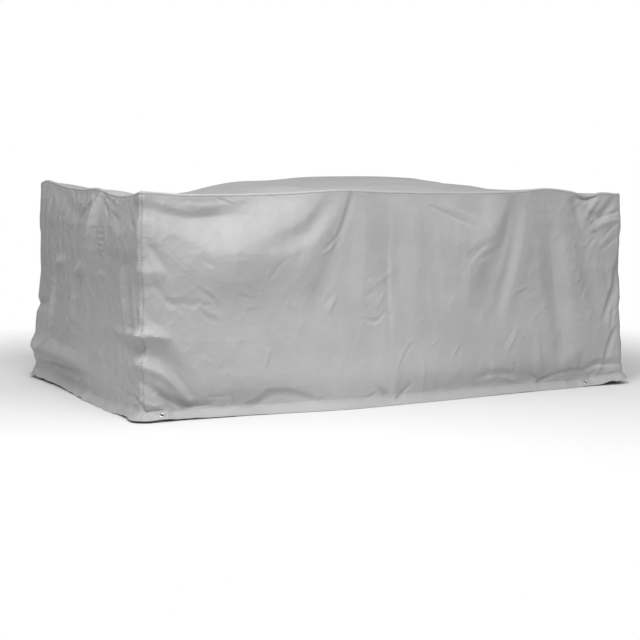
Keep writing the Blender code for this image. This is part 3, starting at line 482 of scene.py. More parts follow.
        (-0.09, 0.815, -0.02, 0.852, 0.06, 0.900, 2, 12, 6, 0.024, 0.026, 0.4),
        (-0.25, 0.602, -0.40, 0.584, -0.440, 0.500, 4, 17, 8, 0.032, 0.048, 0.3),
        (-0.440, 0.500, -0.468, 0.350, -0.520, 0.225, 8, 22, 9, 0.034, 0.055, 0.3),
        (-0.520, 0.225, -0.600, 0.165, -0.690, 0.150, 9, 18, 9, 0.028, 0.040, 0.3),
        (-0.555, 0.380, -0.575, 0.280, -0.610, 0.190, -6, -18, -6, 0.040, 0.046, 0.3),
        (-0.56, 0.860, -0.60, 0.740, -0.62, 0.600, 2, 7, 2, 0.034, 0.040, 0.3),
        (-0.66, 0.940, -0.65, 0.850, -0.66, 0.700, -2, -8, -3, 0.030, 0.030, 0.4),
        (-0.38, 0.840, -0.36, 0.740, -0.36, 0.640, -1, -4, -1, 0.040, 0.040, 0.2),
        # the step that runs in from the far corner
        (-0.76, 0.366, -0.66, 0.378, -0.55, 0.392, -6, -15, -3, 0.034, 0.045, 0.5),
        # the wedge that crosses the near corner, and the roll below it
        (0.530, 0.620, 0.552, 0.480, 0.590, 0.370, 3, 16, 5, 0.060, 0.024, 0.4),
        (0.430, 0.344, 0.590, 0.340, 0.745, 0.346, 2, 16, 9, 0.060, 0.018, 0.7),
        (0.560, 0.312, 0.650, 0.292, 0.750, 0.298, -3, -13, -9, 0.028, 0.050, 0.4),
        (0.460, 0.335, 0.500, 0.350, 0.540, 0.372, 1, 5, 1, 0.014, 0.014, 0.5),
        (0.560, 0.190, 0.660, 0.215, 0.755, 0.250, 2, 14, 4, 0.044, 0.034, 0.3),
        (0.600, 0.190, 0.645, 0.155, 0.700, 0.120, -1, -8, -3, 0.014, 0.014, 0.5),
        (0.660, 0.200, 0.690, 0.165, 0.720, 0.140, 1, 5, 2, 0.014, 0.012, 0.5),
        (0.570, 0.085, 0.650, 0.092, 0.730, 0.082, -1, -7, -2, 0.018, 0.012, 0.5),
        (0.630, 0.112, 0.685, 0.090, 0.745, 0.060, -3, -10, -6, 0.014, 0.012, 0.6),
        (0.660, 0.060, 0.700, 0.074, 0.745, 0.092, 1, 7, 3, 0.012, 0.012, 0.5),
        (0.500, 0.310, 0.512, 0.220, 0.500, 0.120, 1, 5, 2, 0.018, 0.016, 0.4),
        (0.540, 0.280, 0.548, 0.210, 0.535, 0.140, -1, -5, -2, 0.016, 0.014, 0.4),
        (0.600, 0.245, 0.640, 0.225, 0.670, 0.195, 1, 5, 2, 0.018, 0.016, 0.4),
        (0.650, 0.590, 0.665, 0.480, 0.690, 0.390, 1, 6, 2, 0.022, 0.018, 0.4),
        (0.620, 0.360, 0.660, 0.372, 0.700, 0.366, -1, -5, -1, 0.012, 0.012, 0.5),
        # crumples from being folded up in its packet
        (0.200, 0.760, 0.260, 0.752, 0.320, 0.760, 1, 5, 1, 0.008, 0.008, 0.5),
        (0.195, 0.735, 0.260, 0.728, 0.330, 0.735, 1, 6, 1, 0.008, 0.009, 0.5),
        (0.200, 0.708, 0.270, 0.702, 0.340, 0.706, 1, 6, 1, 0.008, 0.008, 0.5),
        (0.200, 0.680, 0.260, 0.676, 0.320, 0.684, 1, 6, 1, 0.008, 0.009, 0.5),
        (0.205, 0.658, 0.260, 0.652, 0.310, 0.658, 1, 3, 1, 0.008, 0.008, 0.5),
        (0.200, 0.560, 0.260, 0.572, 0.330, 0.568, 1, 4, 1, 0.012, 0.012, 0.4),
        (0.500, 0.645, 0.560, 0.640, 0.620, 0.652, 1, 4, 1, 0.010, 0.011, 0.5),
        (0.620, 0.655, 0.650, 0.640, 0.690, 0.632, 1, 4, 1, 0.010, 0.010, 0.5),
        (0.200, 0.905, 0.310, 0.862, 0.450, 0.826, 1, 4, 1, 0.014, 0.016, 0.5),
        (0.190, 0.925, 0.300, 0.898, 0.420, 0.876, 1, 3, 1, 0.010, 0.012, 0.5),
        (0.220, 0.885, 0.300, 0.840, 0.360, 0.800, -1, -4, -1, 0.014, 0.014, 0.4),
        (0.080, 0.920, 0.040, 0.890, -0.020, 0.870, -1, -4, -1, 0.010, 0.012, 0.5),
        (0.110, 0.925, 0.080, 0.880, 0.050, 0.830, 1, 4, 1, 0.012, 0.014, 0.5),
        (0.38, 0.840, 0.44, 0.812, 0.52, 0.800, -1, -4, -1, 0.026, 0.026, 0.3),
        (0.40, 0.770, 0.50, 0.745, 0.60, 0.760, 1, 4, 1, 0.040, 0.036, 0.2),
        # the wall's foot hangs out over its hem
        (-0.76, 0.160, -0.35, 0.158, 0.14, 0.140, 14, 24, 2, 0.070, 0.038, 0.2),
        (-0.76, 0.078, -0.35, 0.084, 0.10, 0.104, -9, -18, -4, 0.030, 0.030, 0.4),
        (0.16, 0.240, 0.26, 0.215, 0.36, 0.230, 1, 4, 1, 0.040, 0.036, 0.2),
    ),
}

# Small crumples, strewn where the cloth has been crushed
CRUMPLES = (
    # wall, from a, to a, from z, to z, how many, longest (m), most rise (mm), heading, spread (degrees)
    ("front", -1.20, -0.88, 0.36, 0.66, 22, 0.080, 2.6, -40, 50),
    ("front", -1.20, -0.80, 0.06, 0.30, 26, 0.070, 2.8, -45, 60),
    ("front", -1.18, -0.50, 0.86, 0.90, 16, 0.040, 2.2, -40, 40),
    ("front", -0.90, -0.30, 0.30, 0.66, 22, 0.070, 1.5, -20, 70),
    ("front", -0.30, 0.50, 0.10, 0.60, 34, 0.060, 1.2, 50, 60),
    ("front", 0.10, 0.50, 0.60, 0.90, 14, 0.060, 1.2, -25, 50),
    ("front", 0.50, 1.00, 0.15, 0.60, 34, 0.060, 1.6, 40, 60),
    ("front", 0.90, 1.20, 0.60, 0.90, 34, 0.070, 2.8, 40, 50),
    ("front", 1.05, 1.20, 0.08, 0.60, 22, 0.060, 2.6, 65, 40),
    ("front", -0.22, -0.08, 0.36, 0.57, 12, 0.080, 2.0, 32, 25),
    ("front", 0.32, 0.48, 0.62, 0.70, 8, 0.090, 2.4, 28, 20),
    ("front", -1.15, 1.20, 0.05, 0.09, 60, 0.050, 2.2, 20, 70),
    ("front", -1.20, -0.85, 0.01, 0.06, 30, 0.050, 3.4, 10, 60),
    ("front", -0.85, 0.60, 0.01, 0.05, 60, 0.060, 1.8, 10, 40),
    ("front", 0.60, 1.20, 0.01, 0.07, 50, 0.060, 2.8, 15, 50),
    ("left", 0.48, 0.74, 0.06, 0.40, 40, 0.070, 4.5, -30, 70),
    ("left", 0.45, 0.74, 0.40, 0.80, 34, 0.070, 4.0, 80, 50),
    ("left", 0.16, 0.45, 0.52, 0.80, 20, 0.070, 2.6, 0, 40),
    ("left", -0.10, 0.60, 0.85, 0.91, 36, 0.060, 4.0, -50, 70),
    ("left", -0.70, -0.10, 0.20, 0.93, 80, 0.100, 4.0, 20, 80),
    ("left", -0.72, 0.60, 0.05, 0.12, 60, 0.060, 5.0, 20, 60),
    ("left", -0.10, 0.50, 0.12, 0.55, 34, 0.090, 2.4, 30, 80),
    ("right", -0.70, 0.70, 0.08, 0.88, 70, 0.080, 2.0, 40, 80),
    ("back", -1.18, 1.18, 0.08, 0.90, 100, 0.090, 2.0, 40, 80),
)

LEAST = 0.35            # the shortest and lowest crumples, as shares of the longest and highest
CROOK = 0.14            # the most that a crumple is bent, as a share of its length
CRUMPLE_LEFTS = (0.007, 0.016)      # the narrowest and widest left side of a crumple
CRUMPLE_RIGHTS = (0.006, 0.010)     # and the same of its right side
CRUMPLE_ENDS = 0.2      # its rise at its ends, as a share of that in its middle
CRUMPLE_SHARP = 0.5
CRUMPLE_SEED = 40


def crumpled(wall, seed):
    """The crumples of a wall as rows like those above, each a short crooked crease."""
    chance = np.random.default_rng(seed)
    rows = []
    for place, a0, a1, z0, z1, count, longest, most, heading, spread in CRUMPLES:
        for k in range(count if place == wall else 0):
            a, z = chance.uniform(a0, a1), chance.uniform(z0, z1)
            length = longest * chance.uniform(LEAST, 1)
            way = math.radians(heading + spread * chance.uniform(-1, 1))
            bend = length * chance.uniform(-CROOK, CROOK)
            da, dz = length / 2 * math.cos(way), length / 2 * math.sin(way)
            rise = most * chance.uniform(LEAST, 1) * chance.choice([-1, 1])
            left, right = chance.uniform(*CRUMPLE_LEFTS), chance.uniform(*CRUMPLE_RIGHTS)
            line = (a - da, z - dz, a - math.sin(way) * bend, z + math.cos(way) * bend, a + da, z + dz)
            rows.append(line + (CRUMPLE_ENDS * rise, rise, CRUMPLE_ENDS * rise, left, right, CRUMPLE_SHARP))
    return tuple(rows)


for number, wall in enumerate(FOLDS):
    FOLDS[wall] += crumpled(wall, CRUMPLE_SEED + number)

STRAIGHTNESS = 0.65     # a fold's line is nearer two straight runs than a bow
LINE_RUNS = 14          # short straight runs that a fold's line is measured from


def fold(wall, row, s, z):
    """The rise of one fold at each place (s, z)."""
    a0, z0, a1, z1, a2, z2, rise0, rise1, rise2, left, right, sharp = row
    total = np.zeros(s.shape)
    reach = max(left, right)
    ds = past(s, wall_middle(wall))
    touched = (ds > min(a0, a1, a2) - reach) & (ds < max(a0, a1, a2) + reach)
    touched &= (z > min(z0, z1, z2) - 2 * reach) & (z < max(z0, z1, z2) + 2 * reach)
    if not touched.any():
        return total
    t = np.linspace(0, 1, LINE_RUNS + 1)
    bowed = np.array([(1 - t) * (1 - 2 * t), 4 * t * (1 - t), t * (2 * t - 1)])
    straight = np.array([np.clip(1 - 2 * t, 0, 1), 1 - np.abs(2 * t - 1), np.clip(2 * t - 1, 0, 1)])
    share = (1 - STRAIGHTNESS) * bowed + STRAIGHTNESS * straight
    line_a, line_z = np.array([a0, a1, a2]) @ share, np.array([z0, z1, z2]) @ share
    rises = np.array([rise0, rise1, rise2]) @ bowed
    ds, z = ds[touched], z[touched]
    nearest, rise = np.full(ds.shape, np.inf), np.zeros(ds.shape)
    for k in range(LINE_RUNS):
        run_a, run_z = line_a[k + 1] - line_a[k], line_z[k + 1] - line_z[k]
        da, dz = ds - line_a[k], z - line_z[k]
        u = np.clip((da * run_a + dz * run_z) / (run_a ** 2 + run_z ** 2), 0, 1)
        away = np.hypot(da - u * run_a, dz - u * run_z)
        width = np.where(run_a * dz - run_z * da > 0, left, right)
        off = np.clip(away / width, 0, 1)
        shape = (1 - sharp) * (1 - off ** 2) ** 2 + sharp * (1 - off) ** 2
        closer = away < nearest
        nearest = np.where(closer, away, nearest)
        rise = np.where(closer, shape * (rises[k] + u * (rises[k + 1] - rises[k])), rise)
    total[touched] = rise / 1000
    return total


LUMPS_FROM = 0.15       # the pattern of lumps starts this far below the ground
LUMPS_SPAN = 1.3        # and is this high


def unevenness(s, z, across, up, seed):
    """Soft seeded lumps and hollows, from -1 to 1, of the given width and height in metres."""
    count = round(GIRTH / across)
    heights = np.random.default_rng(seed).uniform(-1, 1, (int(LUMPS_SPAN / up) + 2, count + 1))
    heights[:, -1] = heights[:, 0]
    x, y = np.mod(s, GIRTH) / GIRTH * count, (z + LUMPS_FROM) / up
    i, j = np.clip(x.astype(int), 0, count - 1), y.astype(int)
    tx, ty = smooth(x - i), smooth(y - j)
    low = heights[j, i] * (1 - tx) + heights[j, i + 1] * tx
    high = heights[j + 1, i] * (1 - tx) + heights[j + 1, i + 1] * tx
    return low * (1 - ty) + high * ty


# The walls' small unevenness, in three sizes of lump
LUMPS = (
    # most rise (mm), width, height, moved along, moved up, seed
    (1.6, 0.085, 0.210, 0.00, 0.00, 11),
    (0.9, 0.047, 0.082, 0.03, 0.02, 12),
    (0.5, 0.021, 0.034, 0.01, 0.01, 13),
)
CORNER_WAVER = 0.0034   # how far a corner seam wavers in and out
CORNER_WAVE = (0.5, 0.043, 14)      # the width, height and seed of its wavers
CORNER_WIDTH = 0.035    # how much of the cloth beside it wavers with it


def creased(s, z):
    """What all the folds and crumples add."""
    total = np.zeros(s.shape)
    for wall, rows in FOLDS.items():
        for row in rows:
            total += fold(wall, row, s, z)
    return total


def folded(s, z):
    """How far out the cloth hangs, with its folds and its small unevenness."""
    total = hang(s, z) + creased(s, z)
    for rise, across, up, moved_along, moved_up, seed in LUMPS:
        total += rise / 1000 * unevenness(s + moved_along, z + moved_up, across, up, seed)
    waver = CORNER_WAVER * unevenness(s * 0, z, *CORNER_WAVE)
    return total + waver * np.exp(-(corner_away(s) / CORNER_WIDTH) ** 2)


def reach_out(s, z):
    """How far out a wall hangs. Its lower edge follows the hem, which lies flat at the eyelets."""
    top = hem_top(s)
    held = folded(steadied(s), top) - folded(s, top)
    return folded(s, z) + held * (1 - smooth((z - top) / FLAT_FADE))


SEAM_DIP = 0.0022       # how far the cloth turns in at a seam
SEAM_TURN = 0.0060      # and how wide the turn is
SEAM_SWELL = 0.0009     # the rise of the cloth beside it, over its turned-in edge
SWELL_AWAY = 0.012      # how far from the seam that rise is highest
SWELL_WIDTH = 0.005
TOP_SEAM = 0.5          # the top seam is pulled in only this share as far as a corner seam
SEAM_SHADE = 0.010      # how far from a seam its puckers and its painted shade and dust fade


def seam_profile(away):
    """How far out the cloth stands at a distance from a seam."""
    dip = -SEAM_DIP * np.clip(1 - away / SEAM_TURN, 0, 1) ** 2
    swell = SEAM_SWELL * np.exp(-((away - SWELL_AWAY) / SWELL_WIDTH) ** 2)
    return dip + swell


def spaced(start, end, cell):
    """Even steps of about one cell, from start up to but without end."""
    cells = max(1, round((end - start) / cell))
    return [start + (end - start) * k / cells for k in range(cells)]


# The mesh cells are smallest where a wall has most folds: along it near its corners, and up
# it over its hem and under its seam
CELLS = {
    # wall: (along where busy, along elsewhere, up where busy, up elsewhere)
    "front": (0.0060, 0.0080, 0.0058, 0.0086),
    "right": (0.0090, 0.0105, 0.0080, 0.0110),
    "back": (0.0090, 0.0105, 0.0080, 0.0110),
    "left": (0.0056, 0.0068, 0.0058, 0.0078),
}
BUSY_ENDS = 0.45
BUSY_FOOT = 0.10
BUSY_TOP = 0.12
WALL_HEIGHT = 0.86      # about a wall's height over its hem
SEAM_STEPS = (0, 0.0015, 0.003, 0.0046, 0.0066, 0.009, 0.012, 0.016)    # cells' edges beside a seam
FOOT_STEPS = (0, 0.0020, 0.0045, 0.0080)                                # and over the hem
HOLE_HALF = 0.0085      # half the width of the mesh cells that hold an eyelet's hole


def wall_columns(wall):
    """Distances around the cover of a wall's mesh columns."""
    reach, (busy, other) = wall_reach(wall), CELLS[wall][:2]
    marks = [-reach + SEAM_STEPS[-1]]
    for eye in sorted(a for name, place, a in EYELETS if place == wall):
        marks += [eye - HOLE_HALF, eye, eye + HOLE_HALF]
    marks += [reach - SEAM_STEPS[-1]]
    places = [-reach + step for step in SEAM_STEPS[:-1]]
    for start, end in zip(marks, marks[1:]):
        cell = busy if min(abs(start), abs(end)) > reach - BUSY_ENDS else other
        places += spaced(start, end, HOLE_HALF if end - start < 2 * HOLE_HALF else cell)
    places += [reach - step for step in reversed(SEAM_STEPS)]
    return wall_middle(wall) + np.array(places)


def wall_shares(wall):
    """Shares of a wall's height of its mesh rows."""
    busy, other = CELLS[wall][2:]
    rows = list(FOOT_STEPS[:-1])
    rows += spaced(FOOT_STEPS[-1], BUSY_FOOT, busy)
    rows += spaced(BUSY_FOOT, WALL_HEIGHT - BUSY_TOP, other)
    rows += spaced(WALL_HEIGHT - BUSY_TOP, WALL_HEIGHT - SEAM_STEPS[-1], busy)
    rows += [WALL_HEIGHT - step for step in reversed(SEAM_STEPS)]
    return np.array(rows) / WALL_HEIGHT


def shown(name, mesh, material, sharp):
    """An object of the mesh, in its material. It is smooth but for edges sharper than an angle."""
    mesh.shade_smooth()
    mesh.set_sharp_from_angle(angle=math.radians(sharp))
    mesh.materials.append(material)
    made = bpy.data.objects.new(name, mesh)
    bpy.context.scene.collection.objects.link(made)
    return made


CLOTH_CREASE = 50       # edges of the cloth sharper than this, in degrees, look sharp


def cloth_piece(name, points, normals, quads, uv, seam, thickness, material):
    """A closed sheet of cloth. Its inner face is the outer one set in by the thickness, and
    an edge that has no face on its other side gets a face across the thickness."""
    count = len(points)
    ways = set(zip(quads.ravel().tolist(), np.roll(quads, -1, axis=1).ravel().tolist()))
    open_edges = sorted((a, b) for a, b in ways if (b, a) not in ways)
    rim = np.array([(b, a, a + count, b + count) for a, b in open_edges])
    faces = np.vstack([quads, quads[:, ::-1] + count, rim])
    used, faces = np.unique(faces, return_inverse=True)
    faces = faces.reshape(-1, 4)
    mesh = bpy.data.meshes.new(name)
    mesh.from_pydata(np.vstack([points, points - normals * thickness])[used].tolist(), [], faces.tolist())
    mesh.update()
    corner_uv = np.vstack([uv, uv])[used][faces.ravel()]
    mesh.uv_layers.new(name="cloth").data.foreach_set("uv", corner_uv.ravel())
    # how near each point is to a seam, for the puckers there and the painted shade with a little dust along the
    # seams
    near_seam = np.concatenate([seam, seam])[used].astype(np.float32)
    mesh.attributes.new("seam", "FLOAT", "POINT").data.foreach_set("value", near_seam)
    return shown(name, mesh, material, CLOTH_CREASE)


def grid_faces(rows, cols):
    """The numbers of a grid's points, and the four corners of each of its faces."""
    index = np.arange(rows * cols).reshape(rows, cols)
    return index, np.stack([index[:-1, :-1], index[:-1, 1:], index[1:, 1:], index[1:, :-1]], axis=-1)


HOLE_RADIUS = 0.0076    # of the hole cut for an eyelet's barrel
HOLE_BORDER = ((-1, -1), (-1, 0), (-1, 1), (0, 1), (1, 1), (1, 0), (1, -1), (0, -1))


def cloth_strip(name, outer, uv, seam, thickness, material, eyes=()):
    """A sheet of cloth from a grid of points of its outer face. Each of the eyes is the grid
    place (row, column) of a hole through it."""
    index, faces = grid_faces(*outer.shape[:2])
    facing = np.cross(np.gradient(outer, axis=1), np.gradient(outer, axis=0))
    facing /= np.linalg.norm(facing, axis=2)[..., None]
    points, normals = outer.reshape(-1, 3), facing.reshape(-1, 3)
    keep = np.ones(faces.shape[:2], bool)
    borders = []
    for row, col in eyes:
        keep[row - 1 : row + 1, col - 1 : col + 1] = False
        border = np.array([index[row + down, col + along] for down, along in HOLE_BORDER])
        hole = len(points) + np.arange(len(border))
        middle = points[index[row, col]]
        spokes = points[border] - middle
        spokes /= np.linalg.norm(spokes, axis=1)[:, None]
        points = np.vstack([points, middle + spokes * HOLE_RADIUS])
        normals, uv, seam = [np.concatenate([values, values[border]]) for values in (normals, uv, seam)]
        borders.append(np.column_stack([border, np.roll(border, -1), np.roll(hole, -1), hole]))
    quads = np.vstack([faces[keep], *borders])
    return cloth_piece(name, points, normals, quads, uv, seam, thickness, material)


def give(tree, made, **settings):
    """Sets a node's properties and inputs by name, each to a value or joined to a socket."""
    for key, value in settings.items():
        label = key.replace("_", " ")
        if isinstance(value, bpy.types.NodeSocket):
            tree.links.new(value, made.inputs[label])
        elif hasattr(made, key):
            setattr(made, key, value)
        else:
            made.inputs[label].default_value = value
    return made


def node(tree, kind, **settings):
    """Adds a node with its settings."""
    return give(tree, tree.nodes.new(kind), **settings)


def calc(tree, operation, first, second=None):
    """A Math node on two values, each a socket or a number."""
    made = node(tree, "ShaderNodeMath", operation=operation)
    for socket, value in zip(made.inputs, (first, second)):
        if isinstance(value, (int, float)):
            socket.default_value = value
        elif value is not None:
            tree.links.new(value, socket)
    return made.outputs[0]


def toned(tree, value, *stops):
    """The colour that a value has on a ramp. Each stop is a place on it and a colour."""
    made = node(tree, "ShaderNodeValToRGB", Fac=value)
    ramp = made.color_ramp.elements
    for stop, (place, colour) in zip((ramp[0], ramp[1]), (stops[0], stops[-1])):
        stop.position, stop.color = place, (*colour, 1.0)
    for place, colour in stops[1:-1]:
        ramp.new(place).color = (*colour, 1.0)
    return made.outputs["Color"]


def new_material(name):
    """A material, its tree and its shader."""
    material = bpy.data.materials.new(name)
    material.use_nodes = True
    return material, material.node_tree, material.node_tree.nodes["Principled BSDF"]


WEAVE = 0.0009          # width of a woven thread
DYE = ((0.3, (0.350, 0.351, 0.356)), (0.7, (0.385, 0.386, 0.391)))
# the colour of the painted shade, with a little dust, in the seams and along the stitched rows
SEAM_DUST_AND_SHADE = (0.24, 0.24, 0.245, 1.0)

# How much of the crumpling from the packet is left, at shares of the way around the cover
CRUSHED = (
    (0.00, 0.90), (0.05, 0.54), (0.12, 0.32), (0.22, 0.30), (0.29, 0.55),
    (0.34, 0.38), (0.78, 0.38), (0.82, 0.95), (1.00, 0.90),
)


def coated_cloth(name, puckers):
    """Woven polyester with a soft coating: its threads, fine crumples, and puckers along the seams, which are
    darkened with painted shade and a little dust.
    """
    material, tree, shader = new_material(name)
    cut = node(tree, "ShaderNodeUVMap", uv_map="cloth").outputs["UV"]
    along, up = node(tree, "ShaderNodeSeparateXYZ", Vector=cut).outputs[:2]
    seam = node(tree, "ShaderNodeAttribute", attribute_name="seam").outputs["Fac"]

    # plain weave: warp and weft threads take turns on top
    waves = [calc(tree, "SINE", calc(tree, "MULTIPLY", way, math.pi / WEAVE)) for way in (along, up)]
    warp, weft = [calc(tree, "ABSOLUTE", wave) for wave in waves]
    checks = node(tree, "ShaderNodeTexChecker", Scale=1 / WEAVE, Vector=cut)
    over = node(tree, "ShaderNodeMix", Factor=checks.outputs["Fac"], A=warp, B=weft)
    weave = node(tree, "ShaderNodeBump", Strength=0.55, Distance=0.00012, Height=over.outputs["Result"])

    # crumples left from the packet: soft lumps, and a web of faint creases
    lumps = node(tree, "ShaderNodeTexNoise", Vector=cut, Scale=30.0, Detail=4.0, Roughness=0.6).outputs["Fac"]
    creases = node(
        tree, "ShaderNodeTexNoise", noise_type="RIDGED_MULTIFRACTAL", Vector=cut,
        Scale=9.0, Detail=3.0, Roughness=0.5, Offset=0.9, Gain=1.2,
    )
    rise = calc(tree, "ADD", lumps, calc(tree, "MULTIPLY", creases.outputs["Fac"], 0.8))
    levels = [(place, (left,) * 3) for place, left in CRUSHED]
    crushed = toned(tree, calc(tree, "DIVIDE", along, GIRTH), *levels)
    crumple = node(
        tree, "ShaderNodeBump", Strength=0.6, Distance=0.0066,
        Height=calc(tree, "MULTIPLY", rise, crushed), Normal=weave.outputs["Normal"],
    )

    # puckers that the thread pulls into the cloth beside a seam
    beats = [calc(tree, "SINE", calc(tree, "MULTIPLY", way, 2 * math.pi / puckers)) for way in (up, along)]
    pull = calc(tree, "MULTIPLY", calc(tree, "MULTIPLY", *beats), seam)
    gather = node(
        tree, "ShaderNodeBump", Strength=0.7, Distance=0.0020, Height=pull, Normal=crumple.outputs["Normal"]
    )

    # slightly clouded dye, darkened in the seams with painted shade and a little dust, patchy with the clouds
    clouds = node(tree, "ShaderNodeTexNoise", Vector=cut, Scale=5.0, Detail=3.0, Roughness=0.6).outputs["Fac"]
    dust_and_shade = calc(tree, "MULTIPLY", calc(tree, "POWER", seam, 8.0), clouds)
    dust_and_shade_mix = node(tree, "ShaderNodeMix", data_type="RGBA", Factor=dust_and_shade)
    unshaded, dusty_shaded = [socket for socket in dust_and_shade_mix.inputs if socket.type == "RGBA"]
    tree.links.new(toned(tree, clouds, *DYE), unshaded)
    dusty_shaded.default_value = SEAM_DUST_AND_SHADE
    colour = next(socket for socket in dust_and_shade_mix.outputs if socket.type == "RGBA")
    sheen = node(tree, "ShaderNodeMapRange", Value=lumps, To_Min=0.46, To_Max=0.60)
    give(tree, shader, Base_Color=colour, Roughness=sheen.outputs["Result"], Normal=gather.outputs["Normal"])
    return material


wall_cloth = coated_cloth("coated_cloth", puckers=0.012)

CLOTH = 0.0009          # thickness of the cloth

for wall in WALLS:
    s_line, shares = wall_columns(wall), wall_shares(wall)
    s, share = np.tile(s_line, len(shares)), np.repeat(shares, len(s_line))
    low, high = hem_top(s), seam_height(s)
    z = low + share * (high - low)
    from_corner, from_top = corner_away(s), high - z
    out = reach_out(s, z) + seam_profile(from_corner) + TOP_SEAM * seam_profile(from_top)
    points = hung(s, out, z).reshape(len(shares), -1, 3)
    # nearness to the seams, which darkens the cloth there with painted shade and a little dust
    beside = np.exp(-np.minimum(from_corner, from_top) / SEAM_SHADE)
    piece = cloth_strip(wall + "_wall_cloth", points, np.column_stack([s, z]), beside, CLOTH, wall_cloth)
    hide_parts(wall + "_wall")
    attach(piece, "root")

# ---------------------------------------------------------------------------
# The hems
# Under each wall the cloth is turned up double and stitched. The strip leans
# out over the ground, lies flat at its eyelets and is uneven between them.
# ---------------------------------------------------------------------------
HEM_CLOTH = 0.0017      # thickness of the doubled cloth
HEM_DOWNS = (0, 0.0015, 0.003, 0.0050, 0.0085, 0.0130, 0.0175, 0.0260, 0.0345, 0.0390, 0.0440, 0.0485, 0.0520)
EYELET_DOWN = 0.0260    # an eyelet's middle, below the hem's upper edge
STITCH_DOWN = 0.0050    # the stitched row, below the same edge
EDGE_DOWN = 0.0470      # a second row, above the hem's lower edge
GROOVES = ((STITCH_DOWN, 0.0005), (EDGE_DOWN, 0.0004))      # how deep the stitches pull each row in
GROOVE_WIDTH = 0.0016

# How uneven the hem is between its eyelets: how far it stands in or out, and how far its
# edge lifts, in mm
UNREST = (
    # wall, a, in or out, lift
    ("front", -1.20, 4.0, 2.0),
    ("front", -1.02, 4.0, 5.0),
    ("front", -0.70, 2.2, 1.5),
    ("front", 0.40, 2.0, 1.2),
    ("front", 0.90, 3.5, 4.0),
    ("front", 1.12, 3.0, 8.0),
    ("right", -0.75, 4.0, 28.0),
    ("right", -0.62, 3.0, 4.0),
    ("right", 0.00, 3.0, 3.0),
    ("back", 0.00, 3.0, 3.0),
    ("left", -0.70, 4.0, 3.0),
    ("left", -0.30, 7.0, 11.0),
    ("left", 0.30, 6.0, 9.0),
    ("left", 0.60, 4.0, 4.0),
)

# The lumps that make each of the two: share of it, width, height, how fast they change down the hem, seed
RUFFLES = ((0.6, 0.050, 0.30, 1.0, 21), (0.4, 0.021, 0.02, 0.5, 23))
LIFTS = ((0.7, 0.070, 0.30, 1.0, 22), (0.3, 0.026, 0.30, 1.0, 24))
LOOSE_DOWN = 0.020      # this far down, the hem is free of the wall's foot
FOLDS_LEFT = 0.8        # how much of the wall's folds run on into it
UNDERTURN = 0.75        # how far its upper part turns back under the wall's foot
DROOP = 0.0035          # how far its edge hangs down between the eyelets
LIFTED = 0.55           # how much of its lift is steady along it
LOWEST = 0.0022         # no part of it is nearer the ground
HEM_SEAM = 0.8          # a corner seam is pulled in this share as far here
ROW_SHADE = 0.004       # the stitched row has as much painted shade and dust as a seam has this far off


def hem_lumps(lumps, s, down):
    """The lumps of one of the tables above, added up."""
    return sum(share * unevenness(s, down * fast, across, up, seed) for share, across, up, fast, seed in lumps)


def hem_skin(s, down):
    """Points of the outer face of the hems, at distances down from their upper edge."""
    top, tilt = hem_top(s), lean(s)
    flat = np.max([flat_share(past(s, wall_middle(wall) + a)) for name, wall, a in EYELETS], axis=0)
    loose = (1 - flat) * smooth(down / LOOSE_DOWN)
    lower = top - down * np.cos(tilt)
    share = down / HEM_HEIGHT
    out = reach_out(s, top) + down * np.sin(tilt) * (1 - UNDERTURN * (1 - share) * (1 - flat))
    out += (creased(s, lower) - creased(s, top)) * FOLDS_LEFT * loose
    out += around(UNREST, 2, s) / 1000 * hem_lumps(RUFFLES, s, down) * loose
    for groove, depth in GROOVES:
        out -= depth * np.exp(-((down - groove) / GROOVE_WIDTH) ** 2)
    out += HEM_SEAM * seam_profile(corner_away(s))
    z = lower + around(UNREST, 3, s) / 1000 * (LIFTED + hem_lumps(LIFTS, s, down)) * share * (1 - flat)
    z -= DROOP * share ** 2 * (1 - flat)
    return hung(s, out, np.maximum(z, LOWEST))


hem_cloth = coated_cloth("hem_cloth", puckers=0.014)

for wall in WALLS:
    s_line, downs = wall_columns(wall), np.array(HEM_DOWNS[::-1])
    s, down = np.tile(s_line, len(downs)), np.repeat(downs, len(s_line))
    points = hem_skin(s, down).reshape(len(downs), -1, 3)
    # nearness to the corner seams and the stitched row, which darkens the hem there with painted shade and a
    # little dust
    beside = np.exp(-np.minimum(corner_away(s), np.abs(down - STITCH_DOWN) + ROW_SHADE) / SEAM_SHADE)
    eye_row = int(np.argmin(np.abs(downs - EYELET_DOWN)))
    places = [wall_middle(wall) + a for name, place, a in EYELETS if place == wall]
    eyes = [(eye_row, int(np.argmin(np.abs(s_line - place)))) for place in places]
    uv = np.column_stack([s, -down])
    piece = cloth_strip(wall + "_hem_cloth", points, uv, beside, HEM_CLOTH, hem_cloth, eyes)
    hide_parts(wall + "_hem")
    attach(piece, "root")

